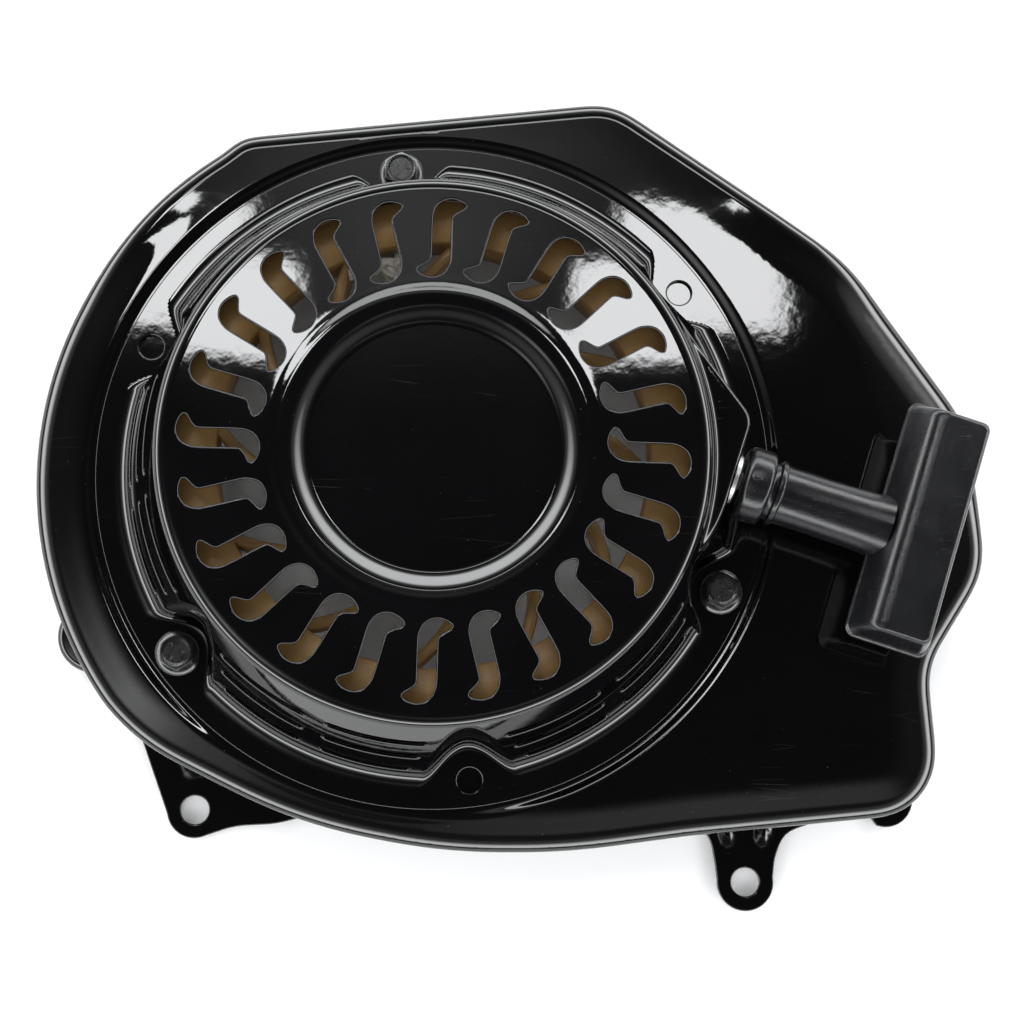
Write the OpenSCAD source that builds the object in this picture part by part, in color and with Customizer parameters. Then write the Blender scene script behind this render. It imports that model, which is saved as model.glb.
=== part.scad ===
// Recoil starter with its blower housing, for a small single-cylinder engine.
// Millimetres. The origin is on the reel axis, on the plane that the fixing ears seat on.
// +Z runs along the reel axis towards the outer cover, and the grip pulls out to the right.

/* [Blower housing] */
// Height of the housing's face above the ears' seat
face_z = 38; // [30:1:46]
// Thickness of the pressed sheet
sheet = 1.2; // [0.8:0.1:1.6]
// Radius of the round left side
round_r = 122.5; // [121:0.5:124]
// Radius of the fan opening in the face
fan_r = 80; // [70:1:85]
// Radius of the raised step round the starter case
step_r = 106; // [105:0.5:110]
// Radius of the holes in the two fixing ears
ear_hole_r = 4.5; // [3:0.25:5]

/* [Starter case] */
// Height of the case's top above the ears' seat
top_z = 76; // [74:0.5:80]
// Radius of the case at its top edge
top_r = 82; // [81:0.5:84]
// Radius of the case's flange
flange_r = 103.5; // [102:0.5:105]
// Radius of the circle that the six fixing holes lie on
hole_circle_r = 95.4; // [94:0.2:97]
// Angle of the first fixing bolt
bolt_angle = 96.7; // [90:0.1:104]
// Number of vents in the top
vent_count = 24; // [12:1:24]
// Angle of the first vent
vent_angle = 88.5; // [80:0.5:95]

/* [Rope and grip] */
// Diameter of the starter rope
rope_d = 5.5; // [4:0.5:6]
// Height of the rope's run
rope_z = 60; // [59:0.5:61]
// Direction of the pull, about Z
pull_angle = -18; // [-20:1:-16]
// Distance of the pull line from the reel axis
pull_offset = 21.4; // [20:0.1:24]
// Length of the grip's crossbar
bar_length = 74; // [60:1:90]
// Width of the crossbar along the pull
bar_width = 25.5; // [22:0.5:28]
// Height of the crossbar
bar_height = 24; // [20:1:26]

/* [Reel] */
// Outer radius of the rope reel
reel_r = 77; // [75:0.5:78]
// Radius of the reel post
post_r = 8; // [7:0.5:9]
// Number of webs in the reel
web_count = 12; // [8:1:12]

/* [Hidden] */
$fn = 96;
enamel = "#15171b";
steel = "#8f9296";

// Housing
inset_face = 11;
step_h = 1;
rim_h = 10;

// Case profile
case_in = 1.2;
dimple_r = 38;
dimple_out_r = 44;
dimple_depth = 2.8;
shoulder = 5;
wall_foot_r = 92.5;
foot_fillet = 4;
pocket_r = 12;
pocket_top = 71;
pocket_floor = face_z + sheet + 0.05;
bolt_hole_r = 4.3;
spout_s = 86;
spout_half = 17.5;
spout_top = 69;
guide_hole_r = 5.2;
guide_seat_r = 7.8;

// Reel
reel_low = 54;
reel_high = 66;
groove_r = 65.6;
ring_in_r = 63.6;
pocket_wall_r = 40;
hub_r = 13;
hub_low = 50.4;
reel_top = 69.5;
web_angle = 5;
web_slant = -22;
floor_t = 2.2;
running = 0.05;

// Pawls
pawl_pivot_r = 27;
pawl_low = 48.1;
pawl_t = 4;
pawl_pin_r = 3;
pawl_swing = 28;
guide_swing = 14;
drive_pin_r = 1.5;
drive_arm = 9;
guide_z = 43.5;
guide_t = 1.8;
guide_r = 34;

// Grip
collar_s = 88.5;
collar_len = 8.5;
collar_r = 11.2;
groove_len = 3.5;
neck_r = 9;
bar_s = 130.5;
bar_centre = 24.3;
bore_r = 3.4;
knot_pocket_r = 7.5;
insert_r = 7.2;
insert_t = 2;

function polar(r, a) = [r * cos(a), r * sin(a)];
function arc(c, r, a0, a1, n) = [for (i = [0 : n]) c + polar(r, a0 + (a1 - a0) * i / n)];

// A polygon's corners [x, y, r], each rounded with a circle of its own radius.
function unit(v) = v / norm(v);
function fillet(p, c, q, n) = let (
        u = unit([p.x - c.x, p.y - c.y]),
        w = unit([q.x - c.x, q.y - c.y]),
        half = acos(u * w) / 2,
        reach = c.z / tan(half),
        m = [c.x, c.y] + unit(u + w) * c.z / sin(half),
        s = [c.x, c.y] + u * reach - m,
        e = [c.x, c.y] + w * reach - m,
        a = atan2(s.y, s.x),
        turn = (atan2(e.y, e.x) - a + 540) % 360 - 180)
    [for (i = [0 : n]) m + polar(c.z, a + turn * i / n)];
function rounded(pts, n = 8) = [for (i = [0 : len(pts) - 1])
    each fillet(pts[(i + len(pts) - 1) % len(pts)], pts[i], pts[(i + 1) % len(pts)], n)];

// Housing outline: the round left side, then the corners of the volute, anticlockwise.
outline_left = [for (a = [126 : 6 : 216]) polar(round_r, a)];
outline_right = rounded([[-99.1, -72, 0.5], [-89, -83.5, 40], [-40, -106.8, 60], [3, -115.5, 80],
    [40, -115.9, 80], [78, -111.2, 60], [155.5, -104, 20], [152.5, -60, 22], [172, -30, 26],
    [169.5, 17, 30], [132.5, 68.5, 60], [56.5, 121, 20], [-62.3, 107.3, 8], [-67, 102.6, 0.5]], 6);
outline = concat(outline_left, outline_right);

module around(n, start) {
    for (i = [0 : n - 1])
        rotate(start + i * 360 / n)
            children();
}

// Moves children from the pull line's own frame: X along the pull, Z up, origin at its foot.
module on_pull_line(s) {
    rotate(pull_angle)
        translate([s, pull_offset, rope_z])
            children();
}

module pull_rod(s, length, r) {
    on_pull_line(s)
        rotate([0, 90, 0])
            cylinder(r = r, h = length);
}

// A round tube swept along points by parallel rings.
function ring(p, d, r, sides) = let (
        t = unit(d),
        side = norm(cross(t, [0, 0, 1])) > 0.1 ? unit(cross(t, [0, 0, 1])) : [1, 0, 0],
        up = cross(side, t))
    [for (k = [0 : sides - 1]) p + r * (cos(360 * k / sides) * side + sin(360 * k / sides) * up)];
module sweep(path, r, sides = 8) {
    n = len(path);
    dirs = [for (i = [0 : n - 1]) path[min(i + 1, n - 1)] - path[max(i - 1, 0)]];
    points = [for (i = [0 : n - 1]) each ring(path[i], dirs[i], r, sides)];
    walls = [for (i = [0 : n - 2], k = [0 : sides - 1])
        let (a = i * sides + k, b = i * sides + (k + 1) % sides) [a, b, b + sides, a + sides]];
    ends = [[for (k = [sides - 1 : -1 : 0]) k], [for (k = [0 : sides - 1]) (n - 1) * sides + k]];
    polyhedron(points, concat(walls, ends), convexity = 8);
}

// ---- Blower housing ----

// A closed solid lofted through copies of the outline, each [scale, height].
module loft(levels) {
    n = len(outline);
    points = [for (l = levels, p = outline) [p.x * l[0], p.y * l[0], l[1]]];
    walls = [for (i = [0 : len(levels) - 2], k = [0 : n - 1])
        let (a = i * n + k, b = i * n + (k + 1) % n) [a, a + n, b + n, b]];
    ends = [[for (k = [0 : n - 1]) k], [for (k = [n - 1 : -1 : 0]) (len(levels) - 1) * n + k]];
    polyhedron(points, concat(walls, ends), convexity = 6);
}

module pan(shrink, low, high) {
    k = 1 - shrink / round_r;
    top = high - rim_h;
    loft([[k, low], [k, top],
        for (a = [22.5 : 22.5 : 90])
            [k * (1 - inset_face / round_r * (1 - cos(a))), top + rim_h * sin(a)]]);
}

module ear(tip, tip_r, root_a, root_b) {
    linear_extrude(1.6)
        difference() {
            hull() {
                translate(tip)
                    circle(tip_r, $fn = 32);
                translate(root_a)
                    circle(2, $fn = 32);
                translate(root_b)
                    circle(2, $fn = 32);
            }
            circle(fan_r + 10);
        }
}

ear_left = [-75.2, -103.5];
ear_right = [100, -126.2];
ear_tip_r = 9.5;
side_boss = [-106.5, -49.5, 0];
boss_r = 11.5;
boss_h = 16;

module blower_housing() {
    color(enamel)
        difference() {
            union() {
                pan(0, 0, face_z + step_h);
                ear(ear_left, ear_tip_r, [-93, -74], [-44, -106]);
                ear(ear_right, ear_tip_r + 0.5, [84, -108], [115, -106]);
                translate([146, -100, 0])
                    cylinder(r = 9, h = 1.6);
                translate(side_boss)
                    cylinder(r = boss_r, h = boss_h);
            }
            pan(sheet, -1, face_z - sheet);
            translate(side_boss - [0, 0, 0.01])
                cylinder(r = boss_r - sheet, h = boss_h - sheet);
            cylinder(r = fan_r, h = top_z);
            translate([0, 0, face_z])
                cylinder(r = step_r, h = step_h + 1);
            for (p = [ear_left, ear_right])
                translate([p.x, p.y, -1])
                    cylinder(r = ear_hole_r, h = 4);
            around(6, bolt_angle)
                translate([hole_circle_r, 0, 0])
                    cylinder(r = bolt_hole_r, h = face_z + 1);
        }
}

// ---- Starter case ----

function case_profile(t) = concat(
    [[0, face_z - (t > 0 ? 1 : 0)]],
    t > 0 ? [[wall_foot_r + foot_fillet, face_z - 1], [wall_foot_r + foot_fillet, face_z]]
          : [[flange_r, face_z], [flange_r, face_z + sheet], [97, face_z + sheet]],
    [[wall_foot_r - t, face_z + sheet + foot_fillet - t]],
    arc([top_r - shoulder - 0.5, top_z - shoulder - 0.5], shoulder - t, 22, 88, 6),
    [[dimple_out_r, top_z - t], [dimple_r, top_z - dimple_depth - t],
     [0, top_z - dimple_depth - t]]);

// Space round each fixing, from just above the flange: cut from the outside, and grown by the
// sheet's thickness to keep the inside clear of it.
module pockets(grow) {
    low = grow > 0 ? face_z - 2 : pocket_floor;
    around(6, bolt_angle)
        translate([hole_circle_r, 0, low])
            cylinder(r = pocket_r + grow, h = pocket_top - low);
}

module spout(t) {
    front = spout_s - t;
    half = spout_half - t;
    rotate(pull_angle)
        translate([0, 0, face_z + (t > 0 ? -1 : sheet)])
            linear_extrude(spout_top - face_z - (t > 0 ? t - 1 : sheet))
                polygon([[front, pull_offset - half], [front, pull_offset + half],
                         [60, 58 - t * 1.5], [40, 30], [40, -10], [78, -20 + t * 1.5]]);
}

// One vent, along +X: half of its outline in [radius, across], then the same turned half a turn.
vent_mid_r = 62.1;
vent_half = [[67.2, -3.2], [68.7, -3.5], [69.9, -5.1], [71, -6.8], [72.4, -7.3], [73.8, -5.7],
    [74.6, -2.9], [74.1, -0.3], [72.7, 1.6], [70.4, 2.8], [67.5, 3.2]];
module vent() {
    other_half = [for (p = vent_half) [2 * vent_mid_r - p.x, -p.y]];
    linear_extrude(6, center = true)
        polygon(concat(vent_half, other_half));
}

module side_slots() {
    around(6, bolt_angle + 30)
        for (level = [0 : 2], side = [-1, 1])
            rotate(side * 10.8)
                translate([78 + level * 2.5, -12.2, 46.5 + 9 * (2 - level) - 2])
                    cube([22, 24.4, 4]);
}

module starter_case() {
    color(enamel)
        difference() {
            difference() {
                union() {
                    rotate_extrude()
                        polygon(case_profile(0));
                    spout(0);
                }
                pockets(0);
            }
            difference() {
                union() {
                    rotate_extrude()
                        polygon(case_profile(case_in));
                    spout(case_in);
                }
                pockets(case_in);
            }
            translate([0, 0, top_z])
                around(vent_count, vent_angle)
                    vent();
            difference() {
                side_slots();
                rotate(pull_angle)
                    translate([60, -23, 0])
                        cube([60, 90, 100]);
            }
            pull_rod(70, 30, guide_hole_r);
            pull_rod(spout_s, 5, guide_seat_r);
            around(6, bolt_angle)
                translate([hole_circle_r, 0, face_z - 1])
                    cylinder(r = bolt_hole_r, h = 4);
        }
}

// ---- Fixings of the case ----

flange_bolt_r = 3;
module case_bolt(i) {
    color("#26272a")
        rotate(bolt_angle + i * 120)
            translate([hole_circle_r, 0, pocket_floor + running]) {
                cylinder(r = 6.9, h = 1.4);
                translate([0, 0, 1.4])
                    cylinder(r = 5.77, h = 4.2, $fn = 6);
                translate([0, 0, -7.2])
                    cylinder(r = flange_bolt_r, h = 8);
            }
}

// A nut fits the inside of the pan, whose rounded rim is close to the fixings.
module weld_nut(i) {
    color(steel)
        intersection() {
            rotate(bolt_angle + i * 120)
                translate([hole_circle_r, 0, face_z - sheet - nut_h])
                    difference() {
                        cylinder(r = 7, h = nut_h);
                        translate([0, 0, -1])
                            cylinder(r = flange_bolt_r + running, h = nut_h + 2);
                    }
            pan(sheet + 0.2, 0, face_z - sheet - 0.01);
        }
}

// ---- Reel post and recoil spring ----

nut_h = 4.6;
post_flange_z = top_z - dimple_depth - case_in;
module reel_post() {
    color(steel)
        difference() {
            union() {
                translate([0, 0, post_flange_z - 1.6])
                    cylinder(r = 22, h = 1.6);
                translate([0, 0, guide_z + guide_t + 1])
                    cylinder(r = post_r, h = post_flange_z - guide_z - guide_t - 2);
            }
            translate([0, 0, guide_z])
                cylinder(r = 2.55, h = 20);
        }
}

spring_in_r = 15;
spring_pitch = 3.4;
spring_turns = 6;
spring_t = 0.7;
spring_low = 57.3;
spring_h = 10.5;
function spiral(offset, n) = [for (i = [0 : n])
    polar(spring_in_r + spring_pitch * spring_turns * i / n + offset, 360 * spring_turns * i / n)];
module recoil_spring() {
    steps = 24 * spring_turns;
    outward = spiral(spring_t, steps);
    inward = spiral(0, steps);
    color("#4c5560")
        translate([0, 0, spring_low]) {
            linear_extrude(spring_h)
                polygon(concat(outward, [for (i = [steps : -1 : 0]) inward[i]]));
            translate([post_r + 0.4, -0.6, 0])
                cube([spring_in_r - post_r, 1.2, spring_h]);
        }
}

// ---- Reel ----

module web(i) {
    rotate(web_angle + i * 360 / web_count)
        translate([pocket_wall_r - 1, 0, reel_low])
            rotate(web_slant)
                translate([0, -1.6, 0])
                    cube([30, 3.2, reel_high - reel_low - 1.5]);
}

knot_angle = 102;
module rope_reel() {
    color("#b08d57")
        difference() {
            union() {
                rotate_extrude()
                    polygon([[ring_in_r, reel_low], [reel_r, reel_low], [reel_r, reel_low + 1.5],
                        [groove_r, reel_low + 2.2], [groove_r, reel_high - 2.2],
                        [reel_r, reel_high - 1.5], [reel_r, reel_high], [ring_in_r, reel_high]]);
                rotate_extrude()
                    polygon([[post_r + running, hub_low], [hub_r, hub_low], [hub_r, reel_low],
                        [pocket_wall_r, reel_low],
                        [pocket_wall_r, reel_top], [pocket_wall_r - 2.5, reel_top],
                        [pocket_wall_r - 2.5, reel_low + floor_t], [hub_r, reel_low + floor_t],
                        [hub_r, spring_low - 0.6], [post_r + running, spring_low - 0.6]]);
                intersection() {
                    for (i = [0 : web_count - 1])
                        web(i);
                    cylinder(r = ring_in_r + 1, h = top_z);
                }
                for (i = [0, 1])
                    rotate(180 * i)
                        translate([pawl_pivot_r, 0, pawl_low - 0.6])
                            cylinder(r = pawl_pin_r, h = reel_low - pawl_low + 1.6);
            }
            rotate(knot_angle)
                translate([pocket_wall_r, -1.5, rope_z])
                    rotate([0, 90, 0])
                        cylinder(r = rope_d / 2 + 0.4, h = 30);
        }
}

module wound_rope() {
    color("#d8d4c8")
        rotate_extrude()
            translate([groove_r + 0.1, rope_z])
                polygon([[0, -3.6], [7.4, -4], [8.2, -3], [8.2, 3], [7.4, 4], [0, 3.6]]);
}

module reel_knot() {
    color("#d8d4c8")
        rotate(knot_angle)
            translate([57, -1.5, rope_z + 1])
                rotate_extrude()
                    polygon([[0, -4.5], [3.6, -4], [5, -2], [5, 2], [3.6, 4], [0, 4.5]]);
}

// ---- Rope from the reel to the grip ----

rope_r = rope_d / 2;
lead_r = groove_r + 5.5;
outlet = [spout_s * cos(pull_angle) - pull_offset * sin(pull_angle),
          spout_s * sin(pull_angle) + pull_offset * cos(pull_angle)];
leave_angle = atan2(outlet.y, outlet.x) + acos(lead_r / norm(outlet));

module rope_guide() {
    bore = rope_r + 0.35;
    throat = guide_hole_r - running;
    color(steel)
        on_pull_line(spout_s)
            rotate([0, 90, 0])
                rotate_extrude()
                    polygon([[bore + 0.6, -case_in - 1.2], [7.2, -case_in - 1.2],
                        [7.2, -case_in - running], [throat, -case_in - running],
                        [throat, running], [7.4, running], [7.4, 1.2], [6.8, 1.8],
                        [bore + 0.6, 1.8], [bore, 1], [bore, -case_in - 0.5]]);
}

// The lead leaves the winding at a tangent and bends into the guide.
lead_start = 29.5;
lead_from = polar(lead_r, leave_angle) + lead_start * [sin(leave_angle), -cos(leave_angle)];
lead_turn = outlet - 4 * [cos(pull_angle), sin(pull_angle)];
lead_end = outlet + 2.2 * [cos(pull_angle), sin(pull_angle)];
function bend(t) = let (p = lead_turn + (lead_from - lead_turn) / norm(lead_from - lead_turn) * 7,
        q = lead_end)
    (1 - t) * (1 - t) * p + 2 * t * (1 - t) * lead_turn + t * t * q;
lead_path = [for (p = concat([lead_from], [for (i = [0 : 8]) bend(i / 8)])) [p.x, p.y, rope_z]];

module rope_lead() {
    color("#d8d4c8")
        sweep(lead_path, rope_r, 10);
}

// ---- Pawls and ratchet guide ----

module pawl(i) {
    color(steel)
        rotate(180 * i)
            translate([pawl_pivot_r, 0, pawl_low])
                difference() {
                    union() {
                        linear_extrude(pawl_t)
                            polygon([[-5, 3], [-3, 6], [3.5, 5.5], [5.5, 0], [5, -8],
                                [1, -16], [-6.5, -22], [-8.5, -20.5], [-4.5, -14], [-3.5, -7],
                                [-5.5, -2]]);
                        translate([0, -drive_arm, -4.2])
                            cylinder(r = drive_pin_r, h = 5);
                    }
                    translate([0, 0, -1])
                        cylinder(r = pawl_pin_r + running, h = pawl_t + 2);
                }
}

module pawl_spring(i) {
    turns = 2;
    pitch = 0.5;
    n = 14 * turns;
    coil = [for (k = [0 : n]) concat(polar(4.2, 360 * turns * k / n - 150), [pitch * turns * k / n])];
    color("#c9cbd0")
        rotate(180 * i)
            translate([pawl_pivot_r, 0, pawl_low + pawl_t + 0.52])
                sweep(coil, 0.22, 8);
}

// Where a pawl's drive pin goes, seen from the guide, as the pawl swings out.
function pin_at(t) = let (
        pin = [pawl_pivot_r, 0] + drive_arm * [sin(pawl_swing * t), -cos(pawl_swing * t)],
        back = -guide_swing * t)
    [pin.x * cos(back) - pin.y * sin(back), pin.x * sin(back) + pin.y * cos(back)];
module ratchet_guide() {
    color("#9a9da2")
        difference() {
            union() {
                translate([0, 0, guide_z])
                    cylinder(r = guide_r, h = guide_t);
                translate([0, 0, guide_z])
                    cylinder(r = post_r + 3, h = guide_t + 0.6);
            }
            translate([0, 0, guide_z - 1])
                cylinder(r = 3.1, h = 6);
            for (i = [0, 1], k = [0 : 10])
                rotate(180 * i)
                    translate(concat(pin_at(k / 10), [guide_z - 1]))
                        cylinder(r = drive_pin_r + 0.5, h = 6, $fn = 24);
        }
}

module friction_spring() {
    turns = 2;
    n = 20 * turns;
    low = guide_z + guide_t + 0.6 + 0.6;
    rise = hub_low - low - 0.6;
    coil = [for (k = [0 : n]) concat(polar(post_r + 1.4, 360 * turns * k / n), [low + rise * k / n])];
    color("#c9cbd0")
        sweep(coil, 0.45, 8);
}

module spring_washer() {
    color(steel)
        translate([0, 0, guide_z - 1.1])
            difference() {
                cylinder(r = 9, h = 1);
                translate([0, 0, -1])
                    cylinder(r = 3.1, h = 3);
            }
}

module centre_screw() {
    color("#55585c")
        translate([0, 0, guide_z - 1.2 - 4.4]) {
            cylinder(r = 5.77, h = 4.4, $fn = 6);
            translate([0, 0, 4.3])
                cylinder(r = 2.5, h = 18);
        }
}

// ---- Grip ----

grip_colour = "#3b3d41";
module bar_slice(inset, z, h) {
    translate([inset * 1.7, bar_centre - pull_offset - bar_length / 2 + inset, z])
        cube([bar_width - inset * 2, bar_length - 2 * inset, h]);
}

module pull_grip() {
    color(grip_colour)
        difference() {
            union() {
                on_pull_line(bar_s)
                    for (k = [-1, 1])
                        mirror([0, 0, k < 0 ? 1 : 0])
                            hull() {
                                bar_slice(0, 0, 1.5);
                                bar_slice(3, bar_height / 2 - 1, 1);
                            }
                pull_rod(collar_s, collar_len, collar_r);
                pull_rod(collar_s + 1, bar_s - collar_s, neck_r);
                pull_rod(collar_s + collar_len + 2, 1.5, neck_r + 0.8);
            }
            pull_rod(collar_s - 1, 60, bore_r);
            pull_rod(bar_s + bar_width - 14, 20, knot_pocket_r);
        }
}

module grip_insert() {
    color(steel)
        difference() {
            pull_rod(bar_s + bar_width - 14, insert_t, insert_r);
            pull_rod(bar_s, 30, rope_r + 0.35);
        }
}

module grip_rope() {
    color("#d8d4c8")
        pull_rod(collar_s + 0.1, bar_s + bar_width - 14 + insert_t - collar_s, rope_r);
}

module grip_knot() {
    color("#d8d4c8")
        on_pull_line(bar_s + bar_width - 14 + insert_t + 0.2)
            rotate([0, 90, 0])
                rotate_extrude()
                    polygon([[0, 0], [4.4, 0.3], [5.6, 2.4], [5.4, 5.6], [3.6, 7.6], [0, 8.4]]);
}

blower_housing();
starter_case();
case_bolt(0);  // case_bolt_1
case_bolt(1);  // case_bolt_2
case_bolt(2);  // case_bolt_3
weld_nut(0);  // weld_nut_1
weld_nut(1);  // weld_nut_2
weld_nut(2);  // weld_nut_3
reel_post();
rope_guide();
recoil_spring();
rope_reel();
wound_rope();
reel_knot();
rope_lead();
pawl(0);  // pawl_a
pawl(1);  // pawl_b
pawl_spring(0);  // pawl_spring_a
pawl_spring(1);  // pawl_spring_b
ratchet_guide();
friction_spring();
spring_washer();
centre_screw();
pull_grip();
grip_insert();
grip_rope();
grip_knot();
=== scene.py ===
"""Looks of the recoil starter: enamelled pressings, reel, rope and grip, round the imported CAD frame.

Lengths in the shape functions are millimetres, in the CAD frame; meshes are scaled to metres once.
"""
import math
import bpy
import numpy as np
from mathutils import Matrix, Vector, geometry


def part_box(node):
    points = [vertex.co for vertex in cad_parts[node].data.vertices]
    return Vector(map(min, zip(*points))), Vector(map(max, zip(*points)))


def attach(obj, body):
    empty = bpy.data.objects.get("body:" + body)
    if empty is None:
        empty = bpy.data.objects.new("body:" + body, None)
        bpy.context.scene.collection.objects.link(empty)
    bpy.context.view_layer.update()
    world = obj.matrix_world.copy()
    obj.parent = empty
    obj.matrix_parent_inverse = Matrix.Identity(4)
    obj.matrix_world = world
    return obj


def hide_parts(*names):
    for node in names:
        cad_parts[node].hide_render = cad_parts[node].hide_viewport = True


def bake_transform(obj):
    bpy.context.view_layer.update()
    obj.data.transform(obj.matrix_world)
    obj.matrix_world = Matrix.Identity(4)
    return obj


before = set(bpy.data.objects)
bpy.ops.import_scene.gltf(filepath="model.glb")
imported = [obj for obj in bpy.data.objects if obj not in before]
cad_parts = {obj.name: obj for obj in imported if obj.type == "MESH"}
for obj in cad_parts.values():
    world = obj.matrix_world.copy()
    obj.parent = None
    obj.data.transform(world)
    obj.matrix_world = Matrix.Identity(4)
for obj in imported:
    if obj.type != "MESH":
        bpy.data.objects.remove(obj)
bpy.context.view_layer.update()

MM = 0.001


def box_mm(node):
    """Lowest and highest corner of a CAD node, in millimetres."""
    low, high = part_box(node)
    return np.array(low) / MM, np.array(high) / MM


# ---- Driving sizes, from the frame ----

case_low, case_high = box_mm("starter_case")
sheet = 1.2
flange_r = case_high[1]
flange_z = case_low[2] + sheet
top_z = case_high[2]
face_z = box_mm("blower_housing")[1][2]
recess_z = case_low[2]
pull_angle = math.radians(-18)
pull_offset = 21.4
rope_z = 60.0
rope_r = 2.75
bolt_angle = 96.7
hole_circle_r = 95.4
pull_axis = np.array([math.cos(pull_angle), math.sin(pull_angle), 0.0])
pull_side = np.array([-math.sin(pull_angle), math.cos(pull_angle), 0.0])
UP = np.array([0.0, 0.0, 1.0])


def on_pull(s, n, z):
    """Points in the pull line's frame (s along it, n across it from the reel axis) as x, y, z."""
    s, n, z = np.broadcast_arrays(np.asarray(s, float), np.asarray(n, float), np.asarray(z, float))
    return s[..., None] * pull_axis + n[..., None] * pull_side + z[..., None] * UP


# ---- Small numeric helpers ----

def smin(a, b, k):
    """The smaller of a and b, with the corner between them rounded over a width k."""
    h = np.clip(0.5 + 0.5 * (b - a) / k, 0, 1)
    return b + (a - b) * h - k * h * (1 - h)


def smax(a, b, k):
    """The larger of a and b, rounded in the same way."""
    return -smin(-a, -b, k)


def ease(t):
    """From 0 to 1, starting and ending level."""
    t = np.clip(t, 0, 1)
    return t * t * (3 - 2 * t)


def unit(v):
    """Vectors of length 1 in the same directions."""
    return v / np.maximum(np.linalg.norm(v, axis=-1, keepdims=True), 1e-12)


def polar(r, degrees):
    """Flat points at a radius and an angle."""
    a = np.radians(degrees)
    return np.stack([r * np.cos(a), r * np.sin(a)], -1)


def with_z(p, z):
    """Flat points or directions with a third number: one for all, or one for each."""
    return np.concatenate([p, np.broadcast_to(np.reshape(z, (-1, 1)), (len(p), 1))], 1)


def alike(v, n):
    """n copies of one direction."""
    return np.repeat(np.asarray(v)[None], n, 0)


def rotated(points, degrees):
    """Points turned about Z."""
    c, s = math.cos(math.radians(degrees)), math.sin(math.radians(degrees))
    turn = np.array([[c, s], [-s, c]])
    out = np.array(points, float)
    out[..., :2] = out[..., :2] @ turn
    return out


def spline(points, steps, closed=True):
    """A Catmull-Rom curve through points."""
    p = np.asarray(points, float)
    if closed:
        q = np.concatenate([p[-1:], p, p[:2]])
    else:
        q = np.concatenate([2 * p[:1] - p[1:2], p, 2 * p[-1:] - p[-2:-1]])
    t = np.arange(steps)[:, None] / steps
    out = []
    for i in range(1, len(q) - 2):
        a, b, c, d = q[i - 1], q[i], q[i + 1], q[i + 2]
        out.append(0.5 * (2 * b + (c - a) * t + (2 * a - 5 * b + 4 * c - d) * t ** 2
                          + (3 * b - a - 3 * c + d) * t ** 3))
    if not closed:
        out.append(p[-1:])
    return np.concatenate(out)


def resampled(loop, spacing):
    """A closed loop with points evenly spaced along it."""
    p = np.concatenate([loop, loop[:1]])
    s = np.concatenate([[0], np.cumsum(np.linalg.norm(np.diff(p, axis=0), axis=1))])
    n = int(round(s[-1] / spacing))
    at = np.arange(n) * s[-1] / n
    return np.stack([np.interp(at, s, p[:, i]) for i in range(p.shape[1])], -1)


def smoothed(loop, rounds):
    """A closed loop whose points are averaged with their neighbours."""
    for _ in range(rounds):
        loop = 0.5 * loop + 0.25 * (np.roll(loop, 1, 0) + np.roll(loop, -1, 0))
    return loop


def fillet(before, corner, after, r, n=8):
    """The arc of radius r that rounds a corner."""
    u, w = unit(before - corner), unit(after - corner)
    half = math.acos(float(np.clip(u @ w, -1, 1))) / 2
    m = corner + unit(u + w) * r / math.sin(half)
    s = corner + u * r / math.tan(half) - m
    e = corner + w * r / math.tan(half) - m
    a = math.atan2(s[1], s[0])
    turn = (math.atan2(e[1], e[0]) - a + 3 * math.pi) % (2 * math.pi) - math.pi
    return [m + r * np.array([math.cos(a + turn * i / n), math.sin(a + turn * i / n)])
            for i in range(n + 1)]


def rounded(corners, n=8):
    """A polygon whose corners [x, y, radius] are rounded."""
    p = np.array(corners, float)
    out = []
    for i in range(len(p)):
        out += fillet(p[i - 1, :2], p[i, :2], p[(i + 1) % len(p), :2], p[i, 2], n)
    return np.array(out)


def inside(points, loop):
    """Which of the points lie inside a closed loop."""
    x, y = points[:, 0][:, None], points[:, 1][:, None]
    a, b = loop, np.roll(loop, -1, 0)
    crosses = (a[:, 1] > y) != (b[:, 1] > y)
    with np.errstate(divide="ignore", invalid="ignore"):
        at = a[:, 0] + (y - a[:, 1]) * (b[:, 0] - a[:, 0]) / (b[:, 1] - a[:, 1])
    return (crosses & (x < at)).sum(1) % 2 == 1


def nearest(points, loop):
    """Distance from each point to a closed loop, and where on the loop that is: side and share."""
    best = np.full(len(points), 1e9)
    side = np.zeros(len(points), int)
    share = np.zeros(len(points))
    a, b = loop, np.roll(loop, -1, 0)
    d = b - a
    length = (d ** 2).sum(1)
    for start in range(0, len(points), 4000):
        p = points[start:start + 4000]
        t = ((p[:, None] - a) * d).sum(2) / length
        t = np.clip(t, 0, 1)
        away = np.linalg.norm(p[:, None] - (a + t[..., None] * d), axis=2)
        i = away.argmin(1)
        rows = np.arange(len(p))
        best[start:start + 4000], side[start:start + 4000] = away[rows, i], i
        share[start:start + 4000] = t[rows, i]
    return best, side, share


# ---- Mesh building ----

def triangulated(points, borders):
    """Triangles over flat points that keep the borders: points, faces and the faces' middles."""
    found = geometry.delaunay_2d_cdt([Vector(q) for q in points], borders, [], 0, 1e-5)
    flat = np.array([tuple(v) for v in found[0]])
    faces = np.array([f for f in found[2] if len(f) == 3])
    return flat, faces, flat[faces].mean(1)


def anticlockwise(loop):
    """Whether a closed loop runs anticlockwise."""
    area = (loop[:, 0] * np.roll(loop[:, 1], -1) - np.roll(loop[:, 0], -1) * loop[:, 1]).sum()
    return area >= 0


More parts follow.
